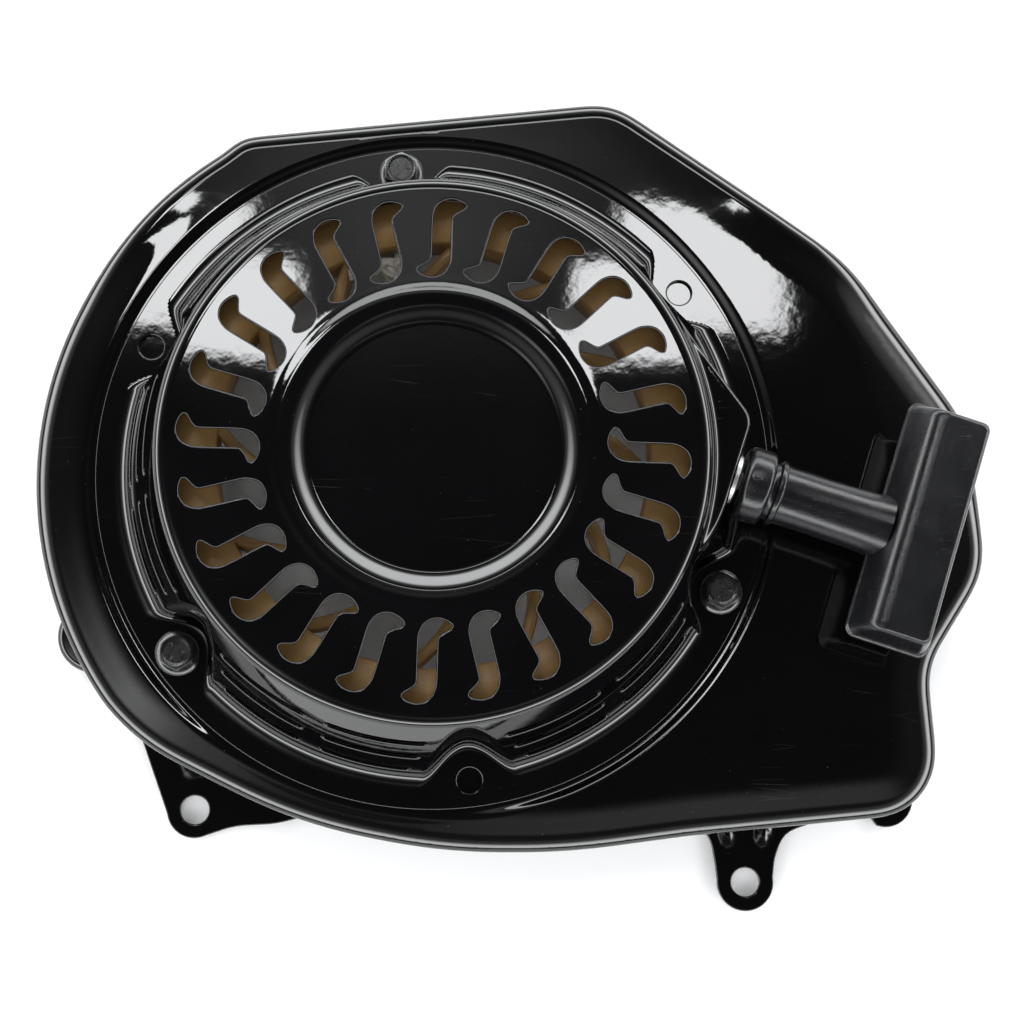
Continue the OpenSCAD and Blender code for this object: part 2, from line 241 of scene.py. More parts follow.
class Builder:
    """Collects points with their own normals and faces, and makes one welded mesh of them."""

    def __init__(self):
        self.points, self.normals, self.faces, self.uvs = [], [], [], []
        self.count = 0

    def add(self, points, normals, faces, uv=None):
        points = np.asarray(points, float).reshape(-1, 3)
        self.points.append(points)
        self.normals.append(np.asarray(normals, float).reshape(-1, 3))
        self.uvs.append(np.zeros((len(points), 2)) if uv is None else np.asarray(uv, float).reshape(-1, 2))
        self.faces += [tuple(int(i) + self.count for i in f) for f in faces]
        self.count += len(points)

    def grid(self, points, normals, closed=False, flip=False, uv=None):
        """Quads over rows of points; closed joins the last column to the first."""
        k, n = points.shape[:2]
        last = n if closed else n - 1
        i, j = np.meshgrid(np.arange(k - 1), np.arange(last), indexing="ij")
        a, b = i * n + j, i * n + (j + 1) % n
        quads = np.stack([a, b, b + n, a + n], -1).reshape(-1, 4)
        self.add(points, normals, quads[:, ::-1] if flip else quads, uv)

    def build(self, name, material, use_uv=False):
        p, n = np.concatenate(self.points), np.concatenate(self.normals)
        uv = np.concatenate(self.uvs)
        key = np.round(p / 0.002).astype(np.int64)
        _, first, weld = np.unique(key, axis=0, return_index=True, return_inverse=True)
        weld = weld.reshape(-1)
        faces, corners = [], []
        for f in self.faces:
            w = [weld[i] for i in f]
            kept = [i for i, k in enumerate(w) if w[i - 1] != k]
            if len(kept) > 2 and len(set(w[i] for i in kept)) == len(kept):
                faces.append([w[i] for i in kept])
                corners += [f[i] for i in kept]
        mesh = bpy.data.meshes.new(name)
        mesh.from_pydata(p[first] * MM, [], faces)
        mesh.polygons.foreach_set("use_smooth", [True] * len(faces))
        if use_uv:
            layer = mesh.uv_layers.new(name="UVMap")
            layer.data.foreach_set("uv", uv[corners].ravel())
        mesh.update()
        if len(mesh.loops) == len(corners):
            mesh.normals_split_custom_set(unit(n[corners]).tolist())
        mesh.materials.append(material)
        o = bpy.data.objects.new(name, mesh)
        bpy.context.scene.collection.objects.link(o)
        return o


def surface_normals(lift, a, b, step=0.02):
    """Normals of the surface lift(a, b), by central differences."""
    da = lift(a + step, b) - lift(a - step, b)
    db = lift(a, b + step / 80) - lift(a, b - step / 80)
    return unit(np.cross(da, db))


def rim_rows(points, normals, outward, thickness, r):
    """Rows of a sheet's rounded edge, from its top face round to its under face."""
    rows, facing = [], []
    for angle in np.radians([0, 22.5, 45, 67.5, 90]):
        rows.append(points + outward * r * math.sin(angle) - normals * r * (1 - math.cos(angle)))
        facing.append(normals * math.cos(angle) + outward * math.sin(angle))
    for angle in np.radians([0, 45, 90]):
        rows.append(points + outward * r * math.cos(angle)
                    - normals * (thickness - r + r * math.sin(angle)))
        facing.append(outward * math.cos(angle) - normals * math.sin(angle))
    return np.array(rows), np.array(facing)


def edge(mesh, points, normals, thickness, r, flip=False):
    """A sheet's rounded edge along a closed loop that has the opening on its left."""
    along = unit(np.roll(points, -1, 0) - np.roll(points, 1, 0))
    outward = unit(np.cross(normals, along)) * (-1 if flip else 1)
    rows, facing = rim_rows(points, normals, outward, thickness, r)
    mesh.grid(rows, facing, closed=True, flip=flip)


def band(mesh, lift, rows, count, holes, thickness, margin=0.45, scale=80.0, edge_r=0.55):
    """A closed band of sheet round the Z axis, both faces, with holes and their rounded edges.
    lift(a, angle) is its surface; rows are the values of a; holes are loops of (a, angle)."""
    step = 2 * math.pi / count
    rows = np.asarray(rows, float)
    a, j = np.meshgrid(rows, np.arange(count), indexing="ij")
    near = np.zeros(a.shape, bool)
    placed = []
    for hole in holes:
        loop = np.array(hole, float)
        loop[:, 1] = np.unwrap(loop[:, 1])
        loop = loop if anticlockwise(loop) else loop[::-1]
        loop[:, 1] -= 2 * math.pi * math.floor(loop[:, 1].mean() / (2 * math.pi))
        placed.append(loop)
        flat = loop * [1, scale]
        k0, k1 = np.searchsorted(rows, [flat[:, 0].min() - margin, flat[:, 0].max() + margin])
        j0 = math.floor((loop[:, 1].min() - margin / scale) / step)
        j1 = math.ceil((loop[:, 1].max() + margin / scale) / step)
        kk, jj = np.meshgrid(np.arange(k0, k1), np.arange(j0, j1 + 1), indexing="ij")
        kk, jj = kk.ravel(), jj.ravel()
        p = np.stack([rows[kk], jj * step * scale], -1)
        hit = (nearest(p, flat)[0] < margin) | inside(p, flat)
        near[kk[hit], jj[hit] % count] = True
    around = np.roll(near, -1, 1)
    open_cell = near[:-1] | near[1:] | around[:-1] | around[1:]
    points = lift(a.ravel(), j.ravel() * step)
    normals = surface_normals(lift, a.ravel(), j.ravel() * step)
    k, c = np.nonzero(~open_cell)
    quads = np.stack([k * count + c, (k + 1) * count + c, (k + 1) * count + (c + 1) % count,
                      k * count + (c + 1) % count], -1)
    mesh.add(points, normals, quads)
    mesh.add(points - normals * thickness, -normals, quads[:, ::-1])
    if placed:
        fill_cells(mesh, lift, rows, count, near, open_cell, placed, thickness, scale)
    for loop in placed:
        p = lift(loop[:, 0], loop[:, 1])
        edge(mesh, p, surface_normals(lift, loop[:, 0], loop[:, 1]), thickness, edge_r)


def fill_cells(mesh, lift, rows, count, near, open_cell, holes, thickness, scale):
    """Triangles between the holes of a band and the whole cells round them."""
    step = 2 * math.pi / count
    spare = 14
    flat, borders = [], []
    index = {}
    for j in range(-spare, count + spare + 1):
        for k in np.nonzero(open_cell[:, j % count] | open_cell[:, (j - 1) % count])[0]:
            for row in (k, k + 1):
                if not near[row, j % count] and (row, j) not in index:
                    index[row, j] = len(flat)
                    flat.append((rows[row], j * step * scale))
    for (row, j), i in index.items():
        up, right = index.get((row + 1, j)), index.get((row, j + 1))
        left_open = row < len(open_cell) and open_cell[row, (j - 1) % count]
        right_open = row < len(open_cell) and open_cell[row, j % count]
        below_open = row > 0 and open_cell[row - 1, j % count]
        if up is not None and left_open != right_open:
            borders.append((i, up))
        if right is not None and below_open != right_open:
            borders.append((i, right))
    for loop in holes:
        for shift in (-2 * math.pi, 0, 2 * math.pi):
            moved = (loop + [0, shift]) * [1, scale]
            if moved[:, 1].max() < -spare * step * scale:
                continue
            if moved[:, 1].min() > (count + spare) * step * scale:
                continue
            start = len(flat)
            flat += [tuple(p) for p in moved]
            borders += [(start + i, start + (i + 1) % len(loop)) for i in range(len(loop))]
    p, faces, middle = triangulated(flat, borders)
    k = np.clip(np.searchsorted(rows, middle[:, 0]) - 1, 0, len(open_cell) - 1)
    j = np.floor(middle[:, 1] / scale / step).astype(int)
    kept = (j >= 0) & (j < count) & open_cell[k, j % count]
    for loop in holes:
        for shift in (-2 * math.pi, 0, 2 * math.pi):
            moved = (loop + [0, shift]) * [1, scale]
            low, high = moved.min(0), moved.max(0)
            close = kept & (middle > low).all(1) & (middle < high).all(1)
            where = np.nonzero(close)[0]
            kept[where[inside(middle[where], moved)]] = False
    faces = faces[kept]
    a, b = p[:, 0], p[:, 1] / scale
    points, normals = lift(a, b), surface_normals(lift, a, b)
    mesh.add(points, normals, faces)
    mesh.add(points - normals * thickness, -normals, faces[:, ::-1])


def lathe(mesh, profile, count=96, centre=(0, 0, 0), axis=None, side=None, closed=False,
          sharp=35):
    """A solid of revolution: profile rows [radius, height], smooth where it turns little."""
    p = np.array(profile, float)
    axis = UP if axis is None else axis
    side = np.array([1.0, 0, 0]) if side is None else side
    other = np.cross(axis, side)
    if closed:
        p = np.concatenate([p, p[:1]])
    d = unit(np.diff(p, axis=0))
    turned = np.stack([d[:, 1], -d[:, 0]], -1)
    a = np.arange(count) * 2 * math.pi / count
    spoke = np.cos(a)[:, None] * side + np.sin(a)[:, None] * other

    def joined(i, k):
        if closed:
            k %= len(d)
        if not 0 <= k < len(d) or turned[i] @ turned[k] < math.cos(math.radians(sharp)):
            return turned[i]
        return unit(turned[i] + turned[k])

    for i in range(len(d)):
        pair = [(p[i], joined(i, i - 1)), (p[i + 1], joined(i, i + 1))]
        rows = np.array([q[0] * spoke + q[1] * axis + np.array(centre) for q, _ in pair])
        facing = np.array([m[0] * spoke + m[1] * axis for _, m in pair])
        mesh.grid(rows, facing, closed=True)


def tube(mesh, path, r, sides=12, along=None, closed=False, pitch=1.0):
    """A round tube along a path, with UVs: u round it, v its length along it over pitch."""
    path = np.asarray(path, float)
    if closed:
        t = unit(np.roll(path, -1, 0) - np.roll(path, 1, 0))
    else:
        t = unit(np.gradient(path, axis=0))
    helper = np.array([0, 0, 1.0]) if abs(t[0][2]) < 0.9 else np.array([1.0, 0, 0])
    side = unit(np.cross(t[0], helper))
    frames = []
    for d in t:
        side = unit(side - (side @ d) * d)
        frames.append((side, np.cross(d, side)))
    length = np.concatenate([[0], np.cumsum(np.linalg.norm(np.diff(path, axis=0), axis=1))])
    v = (length if along is None else along) / pitch
    a = np.arange(sides + 1) * 2 * math.pi / sides
    radius = np.broadcast_to(r, (len(path),))
    facing = np.array([np.cos(a)[:, None] * f[0] + np.sin(a)[:, None] * f[1] for f in frames])
    rows = path[:, None] + facing * radius[:, None, None]
    uv = np.stack(np.broadcast_arrays(np.arange(sides + 1) / sides, v[:, None]), -1)
    if closed:
        rows, facing = np.concatenate([rows, rows[:1]]), np.concatenate([facing, facing[:1]])
        uv = np.concatenate([uv, uv[:1] + [0, length[-1] / pitch]])
    mesh.grid(rows, facing, uv=uv)
    if not closed:
        for i, sign in ((0, -1), (-1, 1)):
            ring = rows[i][:-1]
            order = range(sides) if sign > 0 else range(sides - 1, -1, -1)
            mesh.add(ring, alike(t[i] * sign, sides), [list(order)],
                     uv=alike(uv[i][0], sides))


# ---- Materials ----

def new_material(name, colour, roughness, metallic=0.0, **sockets):
    m = bpy.data.materials.new(name)
    m.use_nodes = True
    shader = m.node_tree.nodes["Principled BSDF"]
    shader.inputs["Base Color"].default_value = (*colour, 1)
    shader.inputs["Roughness"].default_value = roughness
    shader.inputs["Metallic"].default_value = metallic
    for key, value in sockets.items():
        shader.inputs[key.replace("_", " ")].default_value = value
    return m, shader


def node(m, kind, **values):
    n = m.node_tree.nodes.new(kind)
    for key, value in values.items():
        if hasattr(n, key):
            setattr(n, key, value)
        else:
            n.inputs[key.replace("_", " ")].default_value = value
    return n


def link(m, a, b):
    m.node_tree.links.new(a, b)


def coordinates(m, kind="Object"):
    return node(m, "ShaderNodeTexCoord").outputs[kind]


def ramp(m, source, stops):
    """A colour ramp over source: stops are (place, grey or colour)."""
    r = node(m, "ShaderNodeValToRGB")
    link(m, source, r.inputs[0])
    elements = r.color_ramp.elements
    while len(elements) < len(stops):
        elements.new(0.5)
    for e, (place, value) in zip(elements, stops):
        e.position = place
        e.color = (value, value, value, 1) if isinstance(value, (int, float)) else (*value, 1)
    return r.outputs[0]


def noise(m, where, scale, detail=2.0, roughness=0.5, distortion=0.0):
    n = node(m, "ShaderNodeTexNoise", Scale=scale, Detail=detail, Roughness=roughness,
             Distortion=distortion)
    link(m, where, n.inputs["Vector"])
    return n.outputs["Fac"]


def mix(m, share, a, b):
    """share of b over a; a and b are outputs or colours."""
    n = node(m, "ShaderNodeMix", data_type="RGBA")
    link(m, share, n.inputs[0])
    for socket, value in ((n.inputs[6], a), (n.inputs[7], b)):
        if isinstance(value, tuple):
            socket.default_value = (*value, 1)
        else:
            link(m, value, socket)
    return n.outputs[2]


def bump(m, height, strength, distance, onto=None):
    n = node(m, "ShaderNodeBump", Strength=strength, Distance=distance)
    link(m, height, n.inputs["Height"])
    if onto is not None:
        link(m, onto, n.inputs["Normal"])
    return n.outputs["Normal"]


def scratches(m, where, scale, width, turn):
    """Thin, broken lines one way across the surface: 1 on a scratch, else 0."""
    mapping = node(m, "ShaderNodeMapping")
    mapping.inputs["Rotation"].default_value = (0, 0, turn)
    mapping.inputs["Scale"].default_value = (scale * 0.07, scale, scale)
    link(m, where, mapping.inputs["Vector"])
    cell = node(m, "ShaderNodeTexVoronoi", feature="DISTANCE_TO_EDGE", Scale=1.0)
    link(m, mapping.outputs[0], cell.inputs["Vector"])
    line = ramp(m, cell.outputs["Distance"], [(0.0, 1.0), (width, 0.0)])
    gaps = ramp(m, noise(m, where, scale * 0.35, 3), [(0.6, 0.0), (0.68, 1.0)])
    n = node(m, "ShaderNodeMath", operation="MULTIPLY")
    link(m, line, n.inputs[0])
    link(m, gaps, n.inputs[1])
    return n.outputs[0]


def enamel():
    """Gloss black enamel over pressed steel: soft orange peel, dust and hair scratches."""
    m, s = new_material("gloss_enamel", (0.0012, 0.0012, 0.0014), 0.3, Coat_Weight=1.0,
                        Coat_Roughness=0.03, Coat_IOR=1.52, Specular_IOR_Level=0.0)
    where = coordinates(m)
    dust = ramp(m, noise(m, where, 900, 2, 0.7), [(0.74, 0.0), (0.80, 1.0)])
    marks = scratches(m, where, 130, 0.004, 0.7)
    haze = ramp(m, noise(m, where, 26, 4, 0.6), [(0.35, 0.0), (0.75, 1.0)])
    tone = mix(m, haze, (0.0010, 0.0010, 0.0012), (0.0018, 0.0018, 0.0021))
    dusty = mix(m, dust, tone, (0.05, 0.05, 0.05))
    link(m, mix(m, marks, dusty, (0.02, 0.02, 0.021)), s.inputs["Base Color"])
    rough = ramp(m, noise(m, where, 60, 3, 0.6), [(0.3, 0.25), (0.75, 0.4)])
    link(m, rough, s.inputs["Roughness"])
    peel = bump(m, noise(m, where, 260, 2, 0.5), 0.034, 0.0003)
    waves = bump(m, noise(m, where, 40, 1, 0.4), 0.03, 0.0008, peel)
    link(m, waves, s.inputs["Coat Normal"])
    link(m, waves, s.inputs["Normal"])
    return m


def bolt_black():
    """Black oxide on steel: dull, slightly worn and finely pitted."""
    m, s = new_material("bolt_black", (0.02, 0.021, 0.023), 0.34, Coat_Weight=0.3,
                        Coat_Roughness=0.15)
    where = coordinates(m)
    wear = ramp(m, noise(m, where, 700, 5, 0.7), [(0.56, 0.0), (0.75, 1.0)])
    link(m, mix(m, wear, (0.004, 0.004, 0.0045), (0.016, 0.016, 0.018)), s.inputs["Base Color"])
    link(m, ramp(m, noise(m, where, 500, 3), [(0.3, 0.20), (0.8, 0.38)]), s.inputs["Roughness"])
    link(m, bump(m, noise(m, where, 1600, 3), 0.1, 0.0002), s.inputs["Normal"])
    return m


def steel(name, colour, tint, roughness, brushed=0.3):
    """Bare or plated steel with a fine directional grain and cloudy plating."""
    m, s = new_material(name, colour, roughness, 1.0)
    where = coordinates(m)
    cloud = ramp(m, noise(m, where, 90, 4, 0.6), [(0.35, 0.0), (0.7, 1.0)])
    link(m, mix(m, cloud, colour, tint), s.inputs["Base Color"])
    spread = ramp(m, noise(m, where, 320, 3, 0.6),
                  [(0.3, roughness * 0.75), (0.75, min(1, roughness * 1.5))])
    link(m, spread, s.inputs["Roughness"])
    stretch = node(m, "ShaderNodeMapping")
    stretch.inputs["Scale"].default_value = (200, 4000, 4000)
    link(m, where, stretch.inputs["Vector"])
    link(m, bump(m, noise(m, stretch.outputs[0], 1.0, 2), brushed, 0.0001), s.inputs["Normal"])
    return m


def reel_plastic():
    """Tan moulded nylon: slightly waxy, with flow streaks and moulding grain."""
    m, s = new_material("tan_nylon", (0.30, 0.18, 0.06), 0.42, Specular_IOR_Level=0.45)
    s.inputs["Subsurface Weight"].default_value = 0.06
    s.inputs["Subsurface Radius"].default_value = (0.003, 0.0015, 0.0008)
    where = coordinates(m)
    streak = node(m, "ShaderNodeMapping")
    streak.inputs["Scale"].default_value = (30, 30, 160)
    link(m, where, streak.inputs["Vector"])
    flow = ramp(m, noise(m, streak.outputs[0], 1.0, 4, 0.6), [(0.3, 0.0), (0.75, 1.0)])
    link(m, mix(m, flow, (0.235, 0.132, 0.042), (0.37, 0.225, 0.08)), s.inputs["Base Color"])
    link(m, ramp(m, noise(m, where, 400, 3), [(0.3, 0.34), (0.7, 0.52)]), s.inputs["Roughness"])
    link(m, bump(m, noise(m, where, 900, 3), 0.25, 0.0003), s.inputs["Normal"])
    return m


def grip_plastic():
    """Dark grey soft PVC: satin skin, scuffs, pale rubbed marks and a fine moulded grain."""
    m, s = new_material("grip_pvc", (0.02, 0.021, 0.023), 0.42, Specular_IOR_Level=0.4)
    where = coordinates(m)
    cloud = ramp(m, noise(m, where, 70, 5, 0.65), [(0.35, 0.0), (0.7, 1.0)])
    body = mix(m, cloud, (0.003, 0.0031, 0.0036), (0.006, 0.0062, 0.0072))
    scuff = scratches(m, where, 420, 0.02, 0.35)
    specks = ramp(m, noise(m, where, 650, 3, 0.7), [(0.66, 0.0), (0.74, 1.0)])
    marked = mix(m, scuff, body, (0.03, 0.03, 0.032))
    link(m, mix(m, specks, marked, (0.02, 0.0205, 0.022)), s.inputs["Base Color"])
    link(m, ramp(m, noise(m, where, 160, 4, 0.6), [(0.3, 0.17), (0.75, 0.29)]),
         s.inputs["Roughness"])
    grain = bump(m, noise(m, where, 1500, 3, 0.6), 0.18, 0.0003)
    dents = bump(m, noise(m, where, 60, 2, 0.5), 0.12, 0.0008, grain)
    link(m, dents, s.inputs["Normal"])
    return m


def rope_fibre():
    """Braided polyester cord: two sets of crossing strands from the tube's own UVs, with painted shade
    darkening the grooves between the strands.
    """
    m, s = new_material("braided_cord_with_painted_groove_shade", (0.62, 0.59, 0.50), 0.75, Sheen_Weight=0.4)
    s.inputs["Sheen Roughness"].default_value = 0.5
    uv = coordinates(m, "UV")
    heights = []
    for sign in (1, -1):
        split = node(m, "ShaderNodeSeparateXYZ")
        link(m, uv, split.inputs[0])
        across = node(m, "ShaderNodeMath", operation="MULTIPLY_ADD")
        link(m, split.outputs["X"], across.inputs[0])
        across.inputs[1].default_value = 4.0 * sign
        link(m, split.outputs["Y"], across.inputs[2])
        wave = node(m, "ShaderNodeMath", operation="PINGPONG")
        link(m, across.outputs[0], wave.inputs[0])
        wave.inputs[1].default_value = 0.5
        heights.append(wave.outputs[0])
    top = node(m, "ShaderNodeMath", operation="MAXIMUM")
    link(m, heights[0], top.inputs[0])
    link(m, heights[1], top.inputs[1])
    height = ramp(m, top.outputs[0], [(0.0, 0.0), (0.5, 1.0)])
    fibre = noise(m, coordinates(m), 2400, 3, 0.6)
    # Painted shade: the braid's colour runs from dark where the strand height is low, in the grooves
    # between strands, to light on the strand tops.
    tone = mix(m, height, (0.22, 0.20, 0.16), (0.66, 0.63, 0.55))
    soil = ramp(m, noise(m, coordinates(m), 120, 4), [(0.4, 0.0), (0.8, 1.0)])
    link(m, mix(m, soil, tone, (0.40, 0.37, 0.30)), s.inputs["Base Color"])
    strands = bump(m, height, 0.9, 0.0006)
    link(m, bump(m, fibre, 0.3, 0.0002, strands), s.inputs["Normal"])
    return m


ENAMEL = enamel()
BOLT = bolt_black()
ZINC = steel("zinc_steel", (0.55, 0.56, 0.57), (0.44, 0.45, 0.44), 0.34)
SPRING = steel("spring_steel", (0.20, 0.23, 0.28), (0.12, 0.13, 0.16), 0.26, 0.5)
NYLON = reel_plastic()
PVC = grip_plastic()
CORD = rope_fibre()


# ---- Camera, floor and light ----

def look_at(o, target, up):
    """Turns o so that its -Z points at target and its Y is as near up as it can be."""
    back = unit(np.array(o.location) - np.array(target))
    right = unit(np.cross(up, back))
    o.matrix_world = Matrix([[*row, o.location[i]] for i, row in
                             enumerate(np.stack([right, np.cross(back, right), back], 1))]
                            + [[0, 0, 0, 1]])


focal_mm = 62.15
camera_place = (0.0006, -0.1034, 0.5738)
camera_target = (0.0239, -0.0131, 0.038)
floor_half = 3.0


def make_camera():
    data = bpy.data.cameras.new("camera")
    data.lens, data.sensor_width = focal_mm, 36.0
    o = bpy.data.objects.new("camera", data)
    bpy.context.scene.collection.objects.link(o)
    o.location = camera_place
    look_at(o, camera_target, (0, 1, 0))
    bpy.context.scene.camera = o


def make_floor():
    mesh = bpy.data.meshes.new("floor")
    corners = [(x * floor_half, y * floor_half, 0) for x, y in ((-1, -1), (1, -1), (1, 1), (-1, 1))]
    mesh.from_pydata(corners, [], [(0, 1, 2, 3)])
    m, s = new_material("floor_white", (0.9, 0.9, 0.9), 0.7)
    where = coordinates(m)
    link(m, mix(m, noise(m, where, 3, 2), (0.88, 0.88, 0.88), (0.92, 0.92, 0.92)),
         s.inputs["Base Color"])
    mesh.materials.append(m)
    o = bpy.data.objects.new("floor", mesh)
    bpy.context.scene.collection.objects.link(o)
    o.location.z = -0.0005


def calc(m, kind, a, b, c=None):
    """One step of arithmetic on outputs or numbers."""
    n = node(m, "ShaderNodeMath", operation=kind)
    for socket, value in zip(n.inputs, (a, b) if c is None else (a, b, c)):
        if isinstance(value, (int, float)):
            socket.default_value = value
        else:
            link(m, value, socket)
    return n.outputs[0]


def softbox(m, across, along, low, high, soft=0.012):
    """1 inside the rectangle from low to high of the sky, seen as slopes, with soft sides."""
    share = None
    for slope, start, stop in ((across, low[0], high[0]), (along, low[1], high[1])):
        for edge_at, sign in ((start, 1), (stop, -1)):
            gap = calc(m, "MULTIPLY_ADD", slope, sign / soft, -sign * edge_at / soft + 0.5)
            n = node(m, "ShaderNodeMapRange", interpolation_type="SMOOTHSTEP")
            link(m, gap, n.inputs["Value"])
            share = n.outputs[0] if share is None else calc(m, "MULTIPLY", share, n.outputs[0])
    return share


one_over_e = 0.36788


def glow(m, across, along, centre, width, height):
    """A round soft glow in the sky."""
    x = calc(m, "MULTIPLY_ADD", across, 1 / width, -centre[0] / width)
    y = calc(m, "MULTIPLY_ADD", along, 1 / height, -centre[1] / height)
    far = calc(m, "ADD", calc(m, "MULTIPLY", x, x), calc(m, "MULTIPLY", y, y))
    return calc(m, "POWER", one_over_e, far)


# The sky's parts. Places are slopes, x / z and y / z, of the direction that looks at them.
wall_stops = [(0.0, 0.02), (0.16, 0.03), (0.27, 1.0), (0.38, 1.0), (0.52, 0.10), (0.70, 0.012),
              (0.92, 0.004)]
wall_strength = 9.5
softboxes = (((0.108, 0.277), (0.205, 0.355)), ((-0.205, 0.277), (-0.108, 0.355)),
             ((-0.36, 0.37), (-0.20, 0.46)))
softbox_strength = 17.0
strip_low, strip_high, strip_soft, strip_strength = (-0.32, 0.50), (0.32, 0.62), 0.05, 7.0
glows = (((-0.02, 0.39), 0.13, 0.09, 0.7), ((-0.56, -0.28), 0.20, 0.22, 2.4),
         ((0.25, -0.50), 0.40, 0.12, 0.5))


def make_world():
    """A studio tent: bright walls low down, dark overhead, three softboxes, a strip and glows."""
    world = bpy.data.worlds.new("studio")
    bpy.context.scene.world = world
    world.use_nodes = True
    split = node(world, "ShaderNodeSeparateXYZ")
    link(world, coordinates(world, "Generated"), split.inputs[0])
    up = calc(world, "MAXIMUM", split.outputs["Z"], 0.02)
    across = calc(world, "DIVIDE", split.outputs["X"], up)
    along = calc(world, "DIVIDE", split.outputs["Y"], up)
    walls = ramp(world, split.outputs["Z"], wall_stops)
    light = calc(world, "MULTIPLY", walls, wall_strength)
    for low, high in softboxes:
        box = softbox(world, across, along, low, high)
        light = calc(world, "MULTIPLY_ADD", box, softbox_strength, light)
    strip = softbox(world, across, along, strip_low, strip_high, strip_soft)
    light = calc(world, "MULTIPLY_ADD", strip, strip_strength, light)
    for centre, width, height, strength in glows:
        haze = glow(world, across, along, centre, width, height)
        light = calc(world, "MULTIPLY_ADD", haze, strength, light)
    background = world.node_tree.nodes["Background"]
    background.inputs["Color"].default_value = (0.98, 0.99, 1.0, 1)
    link(world, light, background.inputs["Strength"])


def make_stage():
    bpy.context.scene.view_settings.view_transform = "Standard"
    make_camera()
    make_floor()
    make_world()


make_stage()


# ---- Starter case ----

case_count = 640
spout_front = 86.0
spout_top = 69.0
pocket_r = 84.2
pocket_flare = 0.165
seam_r = 76.6
bolt_hole_r = 4.3
guide_hole_r = 5.2
slot_half = 1.9
slot_gap = 1.6
slot_rows = ((45.0, 19.5), (53.7, 21.3), (62.4, 22.8))
# The side wall runs through these two points, each [radius, height]; wall_foot is its radius at
# height 0.
wall_low, wall_high = (92.5, 43.2), (81.1, 72.4)
wall_lean = (wall_low[0] - wall_high[0]) / (wall_high[1] - wall_low[1])
wall_foot = wall_low[0] + wall_lean * wall_low[1]
dome_slope = 0.021
dome_r = 48.0
dome_z = top_z - 0.05
dimple_depth = 2.8
dimple_floor_r, dimple_rim_r = 36.2, 43
dimple_wall = 6.4
bead_r, bead_width, bead_rise = 45.3, 2.3, 0.30
spout_sides = (((spout_front, 38.9), (60, 58)), ((78, -20), (spout_front, 3.9)))
top_round, foot_round, pocket_round = 4.6, 6.5, 8.0
spout_round, spout_join, spout_corner = 4.0, 3.0, 3.5


def top_height(r):
    """Height of the case's top: sunk dimple, the bead round it, and the slightly conical rest."""
    cone = dome_z - dome_slope * (r - dome_r)
    bead = bead_rise * np.exp(-((r - bead_r) / bead_width) ** 2)
    floor = dome_z + dome_slope * (dome_r - dimple_rim_r) - dimple_depth
    return floor + (cone + bead - floor) * ease((r - dimple_floor_r) / dimple_wall)


def spout_reach(angle):
    """Radius of the spout's outer wall at an angle from the pull direction."""
    c, s = np.cos(angle), np.sin(angle)
    walls = [(1.0, 0.0, spout_front)]
    for (x0, y0), (x1, y1) in spout_sides:
        m = unit(np.array([y1 - y0, x0 - x1], float))
        m = m if m[0] > 0 else -m
        walls.append((m[0], m[1], m[0] * x0 + m[1] * y0))
    reach = None
    for mx, my, c0 in walls:
        facing = np.maximum(c * mx + s * my, 0.12)
        r = np.where(c > 0.1, c0 / facing, 40.0)
        reach = r if reach is None else smin(reach, r, spout_corner)
    angle = (angle + math.pi) % (2 * math.pi) - math.pi
    beyond = ease((-angle - 0.36) / 0.3) + ease((angle - 0.86) / 0.3)
    return np.where(beyond < 1, reach - 60 * beyond, 20.0)


def round_axis(r, angle, z):
    """Points at a radius, angle and height."""
    return np.stack([r * np.cos(angle), r * np.sin(angle), z], -1)


def case_skirt(w, angle):
    """Point of the case outside the seam, where w is radius less height."""
    m = dome_slope
    top = (2 * dome_z + 2 * m * dome_r + w * (1 - m)) / (1 + m)
    wall = (2 * wall_foot - w * (1 - wall_lean)) / (1 + wall_lean)
    q = smin(top, wall, top_round)
    spout = smin(w + 2 * spout_top, 2 * spout_reach(angle - pull_angle) - w, spout_round)
    q = smax(q, spout, spout_join)
    off = (np.degrees(angle) - bolt_angle + 30) % 60 - 30
    pocket = 2 * (pocket_r + pocket_flare * off ** 2) - w
    q = smin(q, pocket, pocket_round)
    q = smax(q, w + 2 * flange_z, foot_round)
    return round_axis((q + w) / 2, angle, (q - w) / 2)


def case_top(r, angle):
    """Point of the case inside the seam."""
    return round_axis(r, angle, top_height(r))


vent_count = 24
vent_angle = 88.5
vent_mid_r = 62.1
vent_half = [[67.2, -3.2], [68.7, -3.5], [69.9, -5.1], [71.0, -6.8], [72.4, -7.3], [73.8, -5.7],
             [74.6, -2.9], [74.1, -0.3], [72.7, 1.6], [70.4, 2.8], [67.5, 3.2]]


def vent_loop(degrees):
    """A vent's outline as (radius, angle): an S, the same after half a turn."""
    half = np.array(vent_half)
    whole = np.concatenate([half, [2 * vent_mid_r, 0] - half])
    whole = resampled(spline(whole, 6), 0.9)
    p = rotated(whole, degrees)
    return np.stack([np.linalg.norm(p, axis=1), np.arctan2(p[:, 1], p[:, 0])], -1)


